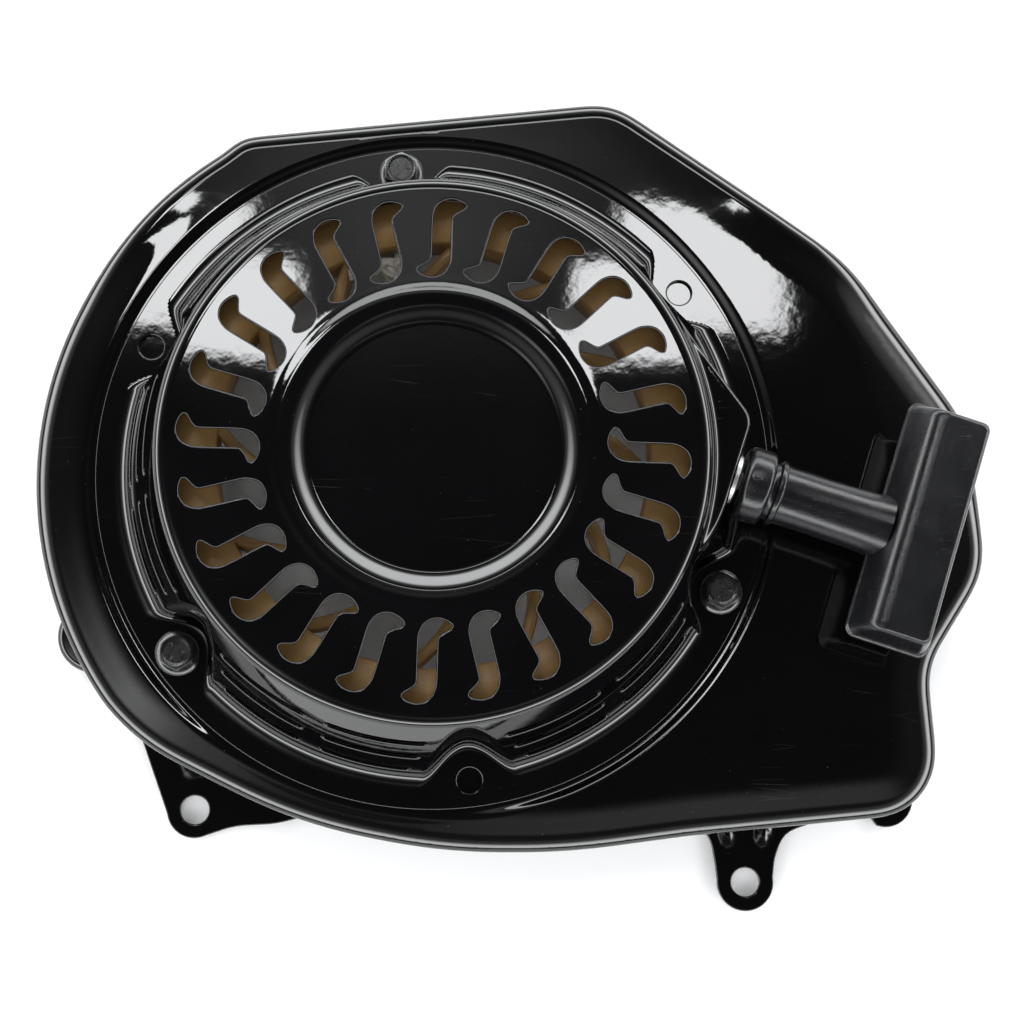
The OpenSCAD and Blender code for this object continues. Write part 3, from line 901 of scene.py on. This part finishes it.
def slot_loops():
    """Side slots of the wall as loops of (w, angle): three rows, two in each sixth, and none at
    the spout. slot_rows gives each row's height and how far it reaches, in degrees."""
    loops = []
    for sector in range(6):
        for side in (-1, 1):
            for z0, reach in slot_rows:
                middle = bolt_angle + 30 + 60 * sector + side * (slot_gap + reach) / 2
                if abs((middle + 3 + 180) % 360 - 180) < 37:
                    continue
                half = math.radians((reach - slot_gap) / 2)
                cap = slot_half / (wall_foot - wall_lean * z0)
                t = np.linspace(-math.pi / 2, math.pi / 2, 9)
                z = np.concatenate([z0 + slot_half * np.sin(t), z0 - slot_half * np.sin(t)])
                u = np.concatenate([half - cap + cap * np.cos(t), cap - half - cap * np.cos(t)])
                loop = np.stack([wall_foot - (wall_lean + 1) * z, u + math.radians(middle)], -1)
                loops.append(resampled(loop * [1, 88.0], 1.0) / [1, 88.0])
    return loops


def hole_loops():
    """The six fixing holes of the flange as loops of (w, angle)."""
    loops = []
    for i in range(6):
        t = np.arange(32) * 2 * math.pi / 32
        p = rotated(np.stack([hole_circle_r + bolt_hole_r * np.cos(t), bolt_hole_r * np.sin(t)], -1),
                    bolt_angle + 60 * i)
        loops.append(np.stack([np.linalg.norm(p, axis=1) - flange_z,
                               np.arctan2(p[:, 1], p[:, 0])], -1))
    return loops


def guide_loop():
    """The round hole for the rope guide in the spout's front, as a loop of (w, angle)."""
    t = np.arange(40) * 2 * math.pi / 40
    p = on_pull(np.full(40, spout_front), pull_offset + guide_hole_r * np.cos(t),
                rope_z + guide_hole_r * np.sin(t))
    return np.stack([np.hypot(p[:, 0], p[:, 1]) - p[:, 2], np.arctan2(p[:, 1], p[:, 0])], -1)


def starter_case():
    mesh = Builder()
    dimple = [6, 14, 22, 30, 34, *np.arange(35.5, 48.6, 0.5)]
    rows = dimple + list(np.linspace(48.9, 76.0, 30)) + [seam_r]
    vents = [vent_loop(vent_angle + 360 / vent_count * i) for i in range(vent_count)]
    band(mesh, case_top, rows, case_count, vents, sheet)
    angle = np.arange(case_count) * 2 * math.pi / case_count
    ring = case_top(np.full(case_count, rows[0]), angle)
    for z, flip in ((0, False), (-sheet, True)):
        order = range(case_count - 1, -1, -1) if flip else range(case_count)
        facing = alike(UP * (-1 if flip else 1), case_count)
        mesh.add(ring + UP * z, facing, [list(order)])
    seam_w = seam_r - float(top_height(seam_r))
    end_w = flange_r - flange_z
    rows = np.concatenate([np.arange(seam_w, end_w - 0.6, 0.6), [end_w - 0.45]])
    holes = slot_loops() + hole_loops() + [guide_loop()]
    band(mesh, case_skirt, rows, case_count, holes, sheet)
    lip = case_skirt(np.full(case_count, rows[-1]), angle)
    facing = surface_normals(case_skirt, np.full(case_count, rows[-1]), angle)
    edge(mesh, lip, facing, sheet, 0.45, flip=True)
    o = mesh.build("starter_case_shell", ENAMEL)
    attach(o, "root")
    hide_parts("starter_case")


# ---- Blower housing ----

round_r = 122.5
housing_corners = [[-99.1, -72, 0.5], [-89, -83.5, 68], [-40.5, -107.6, 160], [3, -116, 180],
                   [40, -116.2, 220], [78, -111.2, 120], [155.5, -104, 20], [152.5, -60, 22],
                   [172, -30, 26], [169.5, 17, 30], [132.5, 68.5, 60], [56.5, 121, 20],
                   [-62.3, 107.3, 8], [-67, 102.6, 0.5]]
fan_r = 80.0
step_r = 106.0
rim_r = 5.5
rim_drop = 3.4
slope_width = 17.0
slope_drop = 2.6
bevel_start, bevel_end = np.array([118.0, 84.0]), np.array([143.0, -4.0])
ring_count = 480


def housing_outline():
    """The housing's outer edge, anticlockwise: the round left side, then the volute's corners."""
    a = np.arange(126, 217, 3.0)
    loop = np.concatenate([polar(np.full(len(a), round_r), a), rounded(housing_corners)])
    return smoothed(resampled(loop, 1.0), 16)


OUTLINE = housing_outline()


def loop_normals(loop):
    """Outward directions along an anticlockwise loop."""
    along = unit(np.roll(loop, -1, 0) - np.roll(loop, 1, 0))
    return np.stack([along[:, 1], -along[:, 0]], -1)


OUTWARD = loop_normals(OUTLINE)


def facet_dip(p):
    """The pressed bevel on the volute's right, beyond a line from the top corner to the grip."""
    along = unit(bevel_end - bevel_start)
    out = np.array([-along[1], along[0]])
    depth = (p - bevel_start) @ out
    reach = (p - bevel_start) @ along
    ends = ease((reach + 26) / 30) * ease((118 - reach) / 40)
    rise = np.where(depth > 0, depth, 0.0)
    return 0.13 * (rise - 3.0 * (1 - np.exp(-rise / 3.0))) * ends


def face_level(p, away):
    """Height of the housing's face before the rim's rounding; away is the distance to the edge.
    The slope towards the edge fades out at the top."""
    r = np.linalg.norm(p, axis=1)
    fall = slope_drop * (1 - 0.95 * ease((p[:, 1] - 50) / 40))
    slope = fall * (1 - ease(away / slope_width)) ** 1.2
    level = face_z - slope - facet_dip(p)
    return recess_z + (level - recess_z) * ease((r - step_r + 1.8) / 3.6)


def face_point(p, away):
    lean = np.clip(1 - away / rim_r, 0, 1)
    return face_level(p, away) - rim_drop * (1 - np.sqrt(1 - lean ** 2))


def face_surface(p):
    """Heights and normals of the housing's face at points inside its outline."""
    away, i, t = nearest(p, OUTLINE)
    j = (i + 1) % len(OUTLINE)
    out = unit(OUTWARD[i] * (1 - t[:, None]) + OUTWARD[j] * t[:, None])
    z = face_point(p, away)
    step = 0.15
    grad = np.zeros_like(p)
    for axis in range(2):
        shift = np.zeros(2)
        shift[axis] = step
        high = face_level(p + shift, np.maximum(away - out[:, axis] * step, 0))
        low = face_level(p - shift, np.maximum(away + out[:, axis] * step, 0))
        grad[:, axis] = (high - low) / (2 * step)
    lean = np.clip(1 - away / rim_r, 0, 1)
    steep = rim_drop / rim_r * lean / np.sqrt(np.maximum(1 - lean ** 2, 1e-4))
    grad -= out * steep[:, None]
    return z, unit(with_z(-grad, 1.0))


def thinned(points, spacing):
    """Points in order of importance, with any that fall in a taken cell left out."""
    taken, kept = set(), []
    for i, p in enumerate(points):
        cell = (round(p[0] / spacing), round(p[1] / spacing))
        if cell not in taken:
            taken.add(cell)
            kept.append(i)
    return points[kept]


def raised(flat):
    """Points of the housing's face over flat ones, and their normals."""
    z, normal = face_surface(flat)
    return with_z(flat, z), normal


def housing_face(mesh):
    """The housing's top face, upper and under side: a ring from the fan opening to past the step,
    then triangles out to the outline."""
    rings = [fan_r, 84, 88, 92, 96, 100, 102.5, 103.6, *np.arange(104, 108, 0.25), 108.2]
    ring_angles = np.arange(ring_count) * 360 / ring_count
    rows = [raised(polar(np.full(ring_count, r), ring_angles)) for r in rings]
    points, normals = (np.array(part) for part in zip(*rows))
    mesh.grid(points, normals, closed=True, flip=True)
    mesh.grid(points - normals * sheet, -normals, closed=True)
    edge(mesh, points[0], normals[0], sheet, 0.4)
    circle = points[-1][:, :2]
    groups = []
    for d in (0.1, 0.35, 0.7, 1.2, 1.8, 2.6, 3.6, 4.6, 5.6, 7.2, 9.4, 12.0, 14.5, 17.4, 20.5, 24):
        p = OUTLINE - OUTWARD * d
        groups.append(p[nearest(p, OUTLINE)[0] > d - 0.02])
    x, y = np.meshgrid(np.arange(-124, 176, 2.6), np.arange(-120, 124, 2.6))
    groups.append(np.stack([x.ravel(), y.ravel()], -1) + 0.05)
    p = thinned(np.concatenate(groups), 0.55)
    p = p[(np.linalg.norm(p, axis=1) > rings[-1] + 0.7) & inside(p, OUTLINE)]
    p = p[nearest(p, OUTLINE)[0] > 0.08]
    n, c = len(OUTLINE), len(circle)
    borders = [(i, (i + 1) % n) for i in range(n)]
    borders += [(n + i, n + (i + 1) % c) for i in range(c)]
    flat, faces, middle = triangulated(np.concatenate([OUTLINE, circle, p]), borders)
    faces = faces[~inside(middle, circle) & inside(middle, OUTLINE)]
    points, normals = raised(flat)
    mesh.add(points, normals, faces)
    mesh.add(points - normals * sheet, -normals, faces[:, ::-1])


def housing_skirt(mesh):
    """The drawn wall below the rim, outer and inner side, and its lower edge."""
    z, normal = face_surface(OUTLINE)
    flat = with_z(OUTWARD, 0.0)
    start = with_z(OUTLINE, z)
    rows, facing = [start], [normal]
    for share in (0.12, 0.3, 0.55, 0.8, 0.96):
        row = start.copy()
        row[:, 2] = z * (1 - share) + 0.6 * share
        rows.append(row)
        facing.append(flat)
    rows, facing = np.array(rows), np.array(facing)
    mesh.grid(rows, facing, closed=True, flip=True)
    mesh.grid(rows - facing * sheet, -facing, closed=True)
    edge(mesh, rows[-1], facing[-1], sheet, 0.5, flip=True)


def plate(mesh, outline, holes, low, thickness, bulge=None):
    """A plate with rounded edges: outline and holes are closed loops in x, y, and bulge(p) is how
    far it is pressed up at a point."""
    r = 0.5
    loops = [resampled(np.array(q, float), 0.8) for q in [outline, *holes]]
    for i, loop in enumerate(loops):
        if anticlockwise(loop) != (i == 0):
            loops[i] = loop[::-1]
        loops[i] = loops[i] - loop_normals(loops[i]) * r
    borders, start = [], 0
    for loop in loops:
        borders += [(start + i, start + (i + 1) % len(loop)) for i in range(len(loop))]
        start += len(loop)
    box_low, box_high = loops[0].min(0), loops[0].max(0)
    spacing = 1.6
    x, y = np.meshgrid(np.arange(box_low[0], box_high[0], spacing),
                       np.arange(box_low[1], box_high[1], spacing))
    grid = np.stack([x.ravel(), y.ravel()], -1)
    grid = grid[inside(grid, loops[0]) & (nearest(grid, loops[0])[0] > 0.7)]
    for loop in loops[1:]:
        grid = grid[~inside(grid, loop) & (nearest(grid, loop)[0] > 0.7)]
    flat, faces, middle = triangulated(np.concatenate([*loops, grid]), borders)
    kept = inside(middle, loops[0])
    for loop in loops[1:]:
        kept &= ~inside(middle, loop)
    faces = faces[kept]

    def swell(p):
        return np.zeros(len(p)) if bulge is None else bulge(p)

    def upper(p):
        e = 0.2
        gx = (swell(p + [e, 0]) - swell(p - [e, 0])) / (2 * e)
        gy = (swell(p + [0, e]) - swell(p - [0, e])) / (2 * e)
        return with_z(p, low + thickness + swell(p)), unit(np.stack([-gx, -gy, np.ones(len(p))], -1))

    points, normals = upper(flat)
    mesh.add(points, normals, faces)
    mesh.add(points - UP * thickness, -normals, faces[:, ::-1])
    for loop in loops:
        points, normals = upper(loop)
        outward = with_z(loop_normals(loop), 0.0)
        rows, facing = rim_rows(points, alike(UP, len(loop)), outward, thickness, r)
        mesh.grid(rows, facing, closed=True, flip=True)


ear_left = np.array([-75.2, -103.5])
ear_right = np.array([100.0, -126.2])
ear_tip_r = 8.8
ear_hole_r = 4.5
ear_thickness = 1.6


def circle_at(centre, r, n=48, start=0.0, stop=360.0, closed=True):
    a = np.linspace(start, stop, n, endpoint=not closed)
    return polar(np.full(n, float(r)), a) + centre


def housing_ears(mesh):
    """The two fixing ears with their stiffening ridges, and the small tab at the lower right."""
    tip = circle_at(ear_left, ear_tip_r, 24, 188, 296, closed=False)
    left = np.concatenate([[[-96.6, -70], [-93.2, -79.8]], tip,
                           spline([tip[-1], [-62, -108.7], [-50, -107.8], [-42, -106]], 8, False)[1:],
                           [[-52, -92], [-82, -66]]])

    def ridge(a, b, width, height):
        d = unit(np.array(b) - np.array(a))
        length = np.linalg.norm(np.array(b) - np.array(a))

        def at(p):
            along = (p - a) @ d
            off = np.abs((p - a) @ np.array([-d[1], d[0]]))
            return height * ease(1 - off / width) * ease(along / 5) * ease((length - along) / 5)
        return at

    plate(mesh, left, [circle_at(ear_left, ear_hole_r)], 0, ear_thickness,
          bulge=ridge((-79, -78), (-73, -94), 5.5, 1.6))
    tip = circle_at(ear_right, ear_tip_r + 0.3, 26, 174, 370, closed=False)
    right = np.concatenate([spline([[76, -106.5], [84, -107.6], [88.6, -112.5], [90.2, -119], tip[0]],
                                   8, False)[:-1],
                            tip, spline([tip[-1], [110.2, -117.6], [114, -111], [123.1, -107.3],
                                         [130, -104]], 8, False)[1:], [[118, -98], [84, -98]]])
    first = ridge((91, -100), (95.5, -116), 3.2, 1.5)
    second = ridge((109, -99), (104.5, -116), 3.2, 1.5)
    plate(mesh, right, [circle_at(ear_right, ear_hole_r)], 0, ear_thickness,
          bulge=lambda p: first(p) + second(p))
    tab = np.concatenate([circle_at(np.array([146.0, -100.0]), 9, 20, 250, 400, closed=False),
                          [[146, -84], [134, -96]]])
    plate(mesh, tab, [], 0, ear_thickness)


def blower_housing():
    mesh = Builder()
    housing_face(mesh)
    housing_skirt(mesh)
    housing_ears(mesh)
    boss = np.array([-106.5, -49.5])
    lathe(mesh, [[0, 14.8], [9.6, 14.6], [10.3, 13.4], [10.3, 0], [11.2, 0], [11.5, 0.3],
                 [11.5, 13.5], [11.1, 14.7], [10.2, 15.6], [9, 16], [0, 16]], 64,
          centre=(*boss, 0))
    o = mesh.build("blower_housing_shell", ENAMEL)
    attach(o, "root")
    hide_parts("blower_housing")


# ---- Fixings ----

def hexagon(mesh, centre, flats, low, high):
    """A hexagon head whose corners are turned off by a cone at the top."""
    chamfer = 0.6
    turned_points = 72
    corner = flats / math.sqrt(3)
    a = np.arange(turned_points) * math.pi / 36
    fold = (a + math.pi / 6) % (math.pi / 3) - math.pi / 6
    r = np.minimum(flats / 2 / np.cos(fold), corner - 0.12)
    rows, facing = [], []
    out = np.stack([np.cos(a), np.sin(a), np.zeros(turned_points)], -1)
    side = np.round(a / (math.pi / 3)) * math.pi / 3
    flat_out = np.stack([np.cos(side), np.sin(side), np.zeros(turned_points)], -1)
    base = np.array([*centre, 0.0])
    for z in (low, high - chamfer):
        fall = np.where(z == low, 0, np.maximum(r - flats / 2, 0) * 0.5)
        rows.append(base + out * r[:, None] + UP * (z - fall)[:, None])
        facing.append(flat_out)
    mesh.grid(np.array(rows), np.array(facing), closed=True)
    edge_ring = rows[-1]
    inner = base + out * (flats / 2 - 0.55) + UP * high
    cone = unit(out + UP * 1.6)
    mesh.grid(np.array([edge_ring, inner]), np.array([cone, unit(out * 0.35 + UP)]), closed=True)
    dish = base + out * (flats / 2 - 1.5) + UP * (high - 0.25)
    mesh.grid(np.array([inner, dish]), np.array([unit(UP - out * 0.1), unit(UP - out * 0.25)]),
              closed=True)
    mesh.add(dish, alike(UP, turned_points), [list(range(turned_points))])


def case_bolts():
    """Three flange bolts: round flange, hexagon with three raised dashes, and ringed thread."""
    for i in range(3):
        name = f"case_bolt_{i + 1}"
        low, high = box_mm(name)
        mesh = Builder()
        centre = polar(hole_circle_r, bolt_angle + 120 * i)
        seat = flange_z + 0.1
        flange = 6.9
        lathe(mesh, [[3.0, seat], [flange - 0.2, seat], [flange, seat + 0.2], [flange, seat + 0.5],
                     [6.5, seat + 0.95], [5.7, seat + 1.55], [5.0, seat + 1.75]], 72,
              centre=(*centre, 0))
        hexagon(mesh, centre, 10.0, seat + 0.9, high[2])
        for k in range(3):
            a = math.radians(bolt_angle + 20 + 120 * k)
            out = np.array([math.cos(a), math.sin(a), 0])
            p = np.array([*centre, high[2] - 0.2]) + 2.3 * out
            tube(mesh, [p - 0.7 * out, p + 0.7 * out], 0.22, 8)
        thread = []
        z = seat
        while z > low[2] + 0.8:
            thread += [[3.0, z], [2.55, z - 0.5]]
            z -= 1.0
        thread += [[2.6, z], [2.0, low[2]], [0, low[2]]]
        lathe(mesh, thread[::-1], 40, centre=(*centre, 0), sharp=10)
        o = mesh.build(name + "_head", BOLT)
        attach(o, "root")
        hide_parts(name)


# ---- Reel, rope and knot ----

reel_low, reel_high = 54.0, 66.0
groove_r = 65.6
ring_in_r = 63.6
reel_r = 77.0
pocket_wall_r = 40.0
web_count = 12


def web_line(i, steps=14):
    """Middle line of a web, from the spring pocket out to the ring: it leans back as it goes.
    Known fault: r starts inside pocket_wall_r, where the power isn't a number, so the web's inner
    end collapses to the origin."""
    r = np.linspace(pocket_wall_r - 1.2, ring_in_r + 0.8, steps)
    lean = -20.0 * ((r - pocket_wall_r) / (ring_in_r - pocket_wall_r)) ** 1.15
    return polar(r, 43.5 + i * 360 / web_count + lean)


def webs(mesh):
    """The reel's webs: each a bar with chamfered upper edges, closed below and at both ends."""
    half = 1.7
    for i in range(web_count):
        line = web_line(i)
        along = unit(np.gradient(line, axis=0))
        side = np.stack([-along[:, 1], along[:, 0]], -1)
        corners = [(-half, reel_low, -1, -0.4), (-half, reel_high - 2.1, -1, 0),
                   (-half + 0.6, reel_high - 1.5, -0.5, 1), (half - 0.6, reel_high - 1.5, 0.5, 1),
                   (half, reel_high - 2.1, 1, 0), (half, reel_low, 1, -0.4)]
        rows, facing = [], []
        for off, z, mx, mz in corners:
            rows.append(with_z(line + side * off, z))
            facing.append(unit(with_z(side * mx, mz)))
        mesh.grid(np.array(rows), np.array(facing))
        mesh.grid(np.array([rows[-1], rows[0]]), np.array([alike(-UP, len(line))] * 2))
        for end, sign in ((0, -1), (-1, 1)):
            cap = np.array([row[end] for row in rows])
            facing_out = np.array([*(along[end] * sign), 0.0])
            order = list(range(6)) if sign < 0 else list(range(5, -1, -1))
            mesh.add(cap, alike(facing_out, 6), [order])


def rope_reel():
    mesh = Builder()
    r, top = 0.5, reel_high
    lathe(mesh, [[ring_in_r, reel_low], [reel_r - r, reel_low], [reel_r, reel_low + r],
                 [reel_r, reel_low + 1.2], [reel_r - 0.4, reel_low + 1.7], [groove_r + 1, reel_low + 2.3],
                 [groove_r, reel_low + 3.2], [groove_r, top - 3.2], [groove_r + 1, top - 2.3],
                 [reel_r - 0.4, top - 1.7], [reel_r, top - 1.2], [reel_r, top - r],
                 [reel_r - r, top], [ring_in_r + r, top], [ring_in_r, top - r]], 240, closed=True,
          sharp=50)
    hub_low, hub_r, post_r = 50.4, 13.0, 8.05
    floor, tall = reel_low + 2.2, box_mm("rope_reel")[1][2]
    wall = pocket_wall_r
    lathe(mesh, [[post_r, hub_low], [hub_r - 0.5, hub_low], [hub_r, hub_low + 0.5], [hub_r, reel_low],
                 [wall - 0.4, reel_low], [wall, reel_low + 0.4], [wall, tall - 0.5], [wall - 0.5, tall],
                 [wall - 2, tall], [wall - 2.5, tall - 0.5], [wall - 2.5, floor + 0.8],
                 [wall - 3.3, floor], [hub_r + 0.6, floor], [hub_r, floor + 0.5], [hub_r, 56.3],
                 [hub_r - 0.4, 56.7], [post_r, 56.7]], 160, closed=True, sharp=50)
    webs(mesh)
    for i in (0, 1):
        pin = polar(27.0, 180 * i)
        lathe(mesh, [[0, 47.5], [2.6, 47.5], [3.0, 47.9], [3.0, 54.2], [0, 54.2]], 40,
              centre=(*pin, 0))
    o = mesh.build("rope_reel_moulding", NYLON)
    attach(o, "reel")
    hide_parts("rope_reel")


def knot_loop():
    """The middle line of an overhand knot, about 3 units in radius."""
    k = np.linspace(0, 2 * math.pi, 72, endpoint=False)
    return np.stack([np.sin(k) + 2 * np.sin(2 * k), np.cos(k) - 2 * np.cos(2 * k),
                     -1.3 * np.sin(3 * k)], -1)


def reel_ropes():
    turns, steps = 3.0, 96
    t = np.linspace(0, turns, int(turns * steps))
    r = 68.3 + 5.0 * (t / turns) + 0.15 * np.sin(40 * t)
    z = rope_z + 1.25 * np.cos(math.pi * t)
    path = with_z(polar(r, 102 - 360 * t), z)
    mesh = Builder()
    tube(mesh, path, 2.45, 14, pitch=6.0)
    coil = mesh.build("wound_rope_turns", CORD, use_uv=True)
    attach(coil, "reel")
    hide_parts("wound_rope")
    loop = knot_loop()
    centre = np.array([*polar(57.0, 102.0), rope_z + 1])
    mesh = Builder()
    tube(mesh, centre + loop * [1.25, 1.25, 1.4], 1.9, 12, closed=True, pitch=6.0)
    tail = spline([centre + [-1, 2, 1], centre + [-4.5, 1.5, 2.5], centre + [-9, -1.0, 3.2],
                   centre + [-14, -1.6, 3.0]], 8, False)
    tube(mesh, tail, 2.1, 12, pitch=6.0)
    neck = spline([centre + [1, 2, 0], centre + [1.5, 6, -0.6], centre + [-1.2, 11.5, -1]], 8, False)
    tube(mesh, neck, 2.3, 12, pitch=6.0)
    knot = mesh.build("reel_knot_rope", CORD, use_uv=True)
    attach(knot, "reel")
    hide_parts("reel_knot")


def lead_rope():
    outlet = on_pull(spout_front, pull_offset, rope_z)
    lead_r = groove_r + 5.5
    flat = np.linalg.norm(outlet[:2])
    leave = math.atan2(outlet[1], outlet[0]) + math.acos(lead_r / flat)
    start = polar(lead_r, math.degrees(leave)) + 29.5 * np.array([math.sin(leave), -math.cos(leave)])
    start = np.array([*start, rope_z])
    turn = outlet - 4 * pull_axis
    before = turn + unit(start - turn) * 7
    t = np.linspace(0, 1, 12)[:, None]
    curve = (1 - t) ** 2 * before + 2 * t * (1 - t) * turn + t ** 2 * (outlet + 2.2 * pull_axis)
    mesh = Builder()
    tube(mesh, np.concatenate([[start], curve]), rope_r, 14, pitch=6.0)
    o = mesh.build("rope_lead_braid", CORD, use_uv=True)
    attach(o, "root")
    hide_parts("rope_lead")


pull_length = 1400.0


def pulled_rope():
    """The rope from the guide into the grip. At rest it is packed inside the grip; its rings are
    spaced so that they lie evenly along the rope when the grip is pulled all the way out."""
    start, end = spout_front + 2.4, 130.0
    far = np.linspace(0, end - start + pull_length, 420)
    s = np.linspace(0, end - start, 6000)
    share = ease(s / (end - start))
    rest = np.interp(far, s + pull_length * share, s)
    mesh = Builder()
    tube(mesh, on_pull(start + rest, pull_offset, rope_z), rope_r - 0.15, 14, along=far, pitch=6.0)
    o = mesh.build("pulled_rope", CORD, use_uv=True)
    tuple(on_pull(start, pull_offset, rope_z) * MM)
    tuple(on_pull(end, pull_offset, rope_z) * MM)
    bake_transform(o)


def grip_ropes():
    mesh = Builder()
    s = np.linspace(129.0, 144.2, 10)
    tube(mesh, on_pull(s, pull_offset, rope_z), rope_r, 14, pitch=6.0)
    o = mesh.build("grip_rope_end", CORD, use_uv=True)
    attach(o, "grip")
    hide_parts("grip_rope")
    loop = knot_loop()
    centre = on_pull(148.3, pull_offset, rope_z)
    path = centre + 1.05 * (loop[:, :1] * pull_side + loop[:, 1:2] * UP) + 1.2 * loop[:, 2:] * pull_axis
    mesh = Builder()
    tube(mesh, path, 1.7, 12, closed=True, pitch=6.0)
    knot = mesh.build("grip_knot_rope", CORD, use_uv=True)
    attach(knot, "grip")
    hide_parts("grip_knot")


# ---- Grip ----

bar_s = 130.5
bar_width, bar_length, bar_height = 25.5, 74.0, 24.0
bar_centre = 24.3


def bar_loop(near, far, end, corner, n=7):
    """A rounded rectangle in (s, n): inset by near on the neck's side, far outside, end at each end."""
    s0, s1 = bar_s + near, bar_s + bar_width - far
    n0, n1 = bar_centre - bar_length / 2 + end, bar_centre + bar_length / 2 - end
    corners = [[s0, n0, corner], [s1, n0, corner], [s1, n1, corner], [s0, n1, corner]]
    return rounded(corners, n)


def loft(mesh, rows):
    """Closed rows of points joined in order, with normals smoothed across gentle steps only."""
    rows = np.array(rows)
    gentle = math.cos(math.radians(32))
    strips = []
    for a, b in zip(rows[:-1], rows[1:]):
        down = unit(b - a)
        mid = unit(np.roll((a + b) / 2, -1, 0) - np.roll((a + b) / 2, 1, 0))
        strips.append(unit(np.cross(mid, down)))
    for i in range(len(strips)):
        upper, lower = strips[i].copy(), strips[i].copy()
        if i > 0:
            soft = (strips[i] * strips[i - 1]).sum(1) > gentle
            upper[soft] = unit(strips[i] + strips[i - 1])[soft]
        if i < len(strips) - 1:
            soft = (strips[i] * strips[i + 1]).sum(1) > gentle
            lower[soft] = unit(strips[i] + strips[i + 1])[soft]
        mesh.grid(rows[i:i + 2], np.array([upper, lower]), closed=True)


def grip_bar(mesh):
    """The crossbar: full width at the parting line, drafted sides, bevelled rounded edges."""
    half = bar_height / 2
    levels = [(half, 9.4, 3.9, 4.2, 1.8), (half - 0.15, 8.1, 3.3, 3.6, 2.0),
              (half - 0.65, 6.7, 2.8, 3.0, 2.3), (half - 1.5, 5.5, 2.4, 2.6, 2.5),
              (half - 2.7, 4.5, 2.1, 2.3, 2.7), (half - 6.5, 2.3, 1.3, 1.6, 2.9),
              (1.6, 0.8, 0.7, 0.9, 3.0), (1.15, 0.55, 0.6, 0.7, 3.0), (0.9, 0.25, 0.2, 0.25, 3.1),
              (0.55, 0.0, 0.0, 0.0, 3.2)]
    levels += [(-z, near, far, end, corner) for z, near, far, end, corner in levels[::-1]]
    loops = [bar_loop(*values[1:]) for values in levels]
    rows = [on_pull(q[:, 0], q[:, 1], rope_z + values[0]) for q, values in zip(loops, levels)]
    rows = [row[::-1] for row in rows]
    loft(mesh, rows)
    inner = loops[0]
    centre = inner.mean(0)
    for row, z, sign in ((rows[0], half, 1), (rows[-1], -half, -1)):
        middle = on_pull(centre[0], centre[1], rope_z + z + 0.25 * sign)
        shrunk = middle + (row - middle) * [0.9, 0.9, 1]
        pair = np.array([row, shrunk])
        facing = alike(UP * sign, len(row))
        mesh.grid(pair, np.array([facing] * 2), closed=True, flip=sign > 0)
        order = list(range(len(row)))
        mesh.add(shrunk, facing, [order[::-1] if sign > 0 else order])


def pull_grip():
    mesh = Builder()
    grip_bar(mesh)
    low = on_pull(0, pull_offset, rope_z)
    profile = [[3.4, 88.5], [9.2, 88.5], [9.9, 88.7], [10.9, 89.8], [11.2, 90.6], [11.2, 95.6],
               [11.0, 96.4], [10.2, 97.0], [9.0, 97.2], [8.7, 97.6], [8.7, 98.6], [9.1, 98.9],
               [9.75, 99.2], [9.8, 99.6], [9.8, 100.3], [9.5, 100.8], [9.1, 101.0], [9.0, 102],
               [8.9, 112], [9.05, 122], [9.25, 127], [9.6, 131.5], [9.8, 134]]
    lathe(mesh, profile, 72, centre=low, axis=pull_axis, side=pull_side, sharp=40)
    lathe(mesh, [[3.4, 134], [3.4, 88.5]], 40, centre=low, axis=pull_axis, side=pull_side)
    o = mesh.build("pull_grip_moulding", PVC)
    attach(o, "grip")
    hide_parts("pull_grip")


# ---- CAD nodes that stay, with their own materials ----

def dress_cad_nodes():
    looks = {ZINC: ("weld_nut_1", "weld_nut_2", "weld_nut_3", "reel_post", "rope_guide", "pawl_a",
                    "pawl_b", "ratchet_guide", "spring_washer", "grip_insert"),
             SPRING: ("recoil_spring", "pawl_spring_a", "pawl_spring_b", "friction_spring"),
             BOLT: ("centre_screw",)}
    for material, names in looks.items():
        for name in names:
            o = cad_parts[name]
            o.data.materials.clear()
            o.data.materials.append(material)


starter_case()
blower_housing()
case_bolts()
rope_reel()
reel_ropes()
lead_rope()
pulled_rope()
grip_ropes()
pull_grip()
dress_cad_nodes()
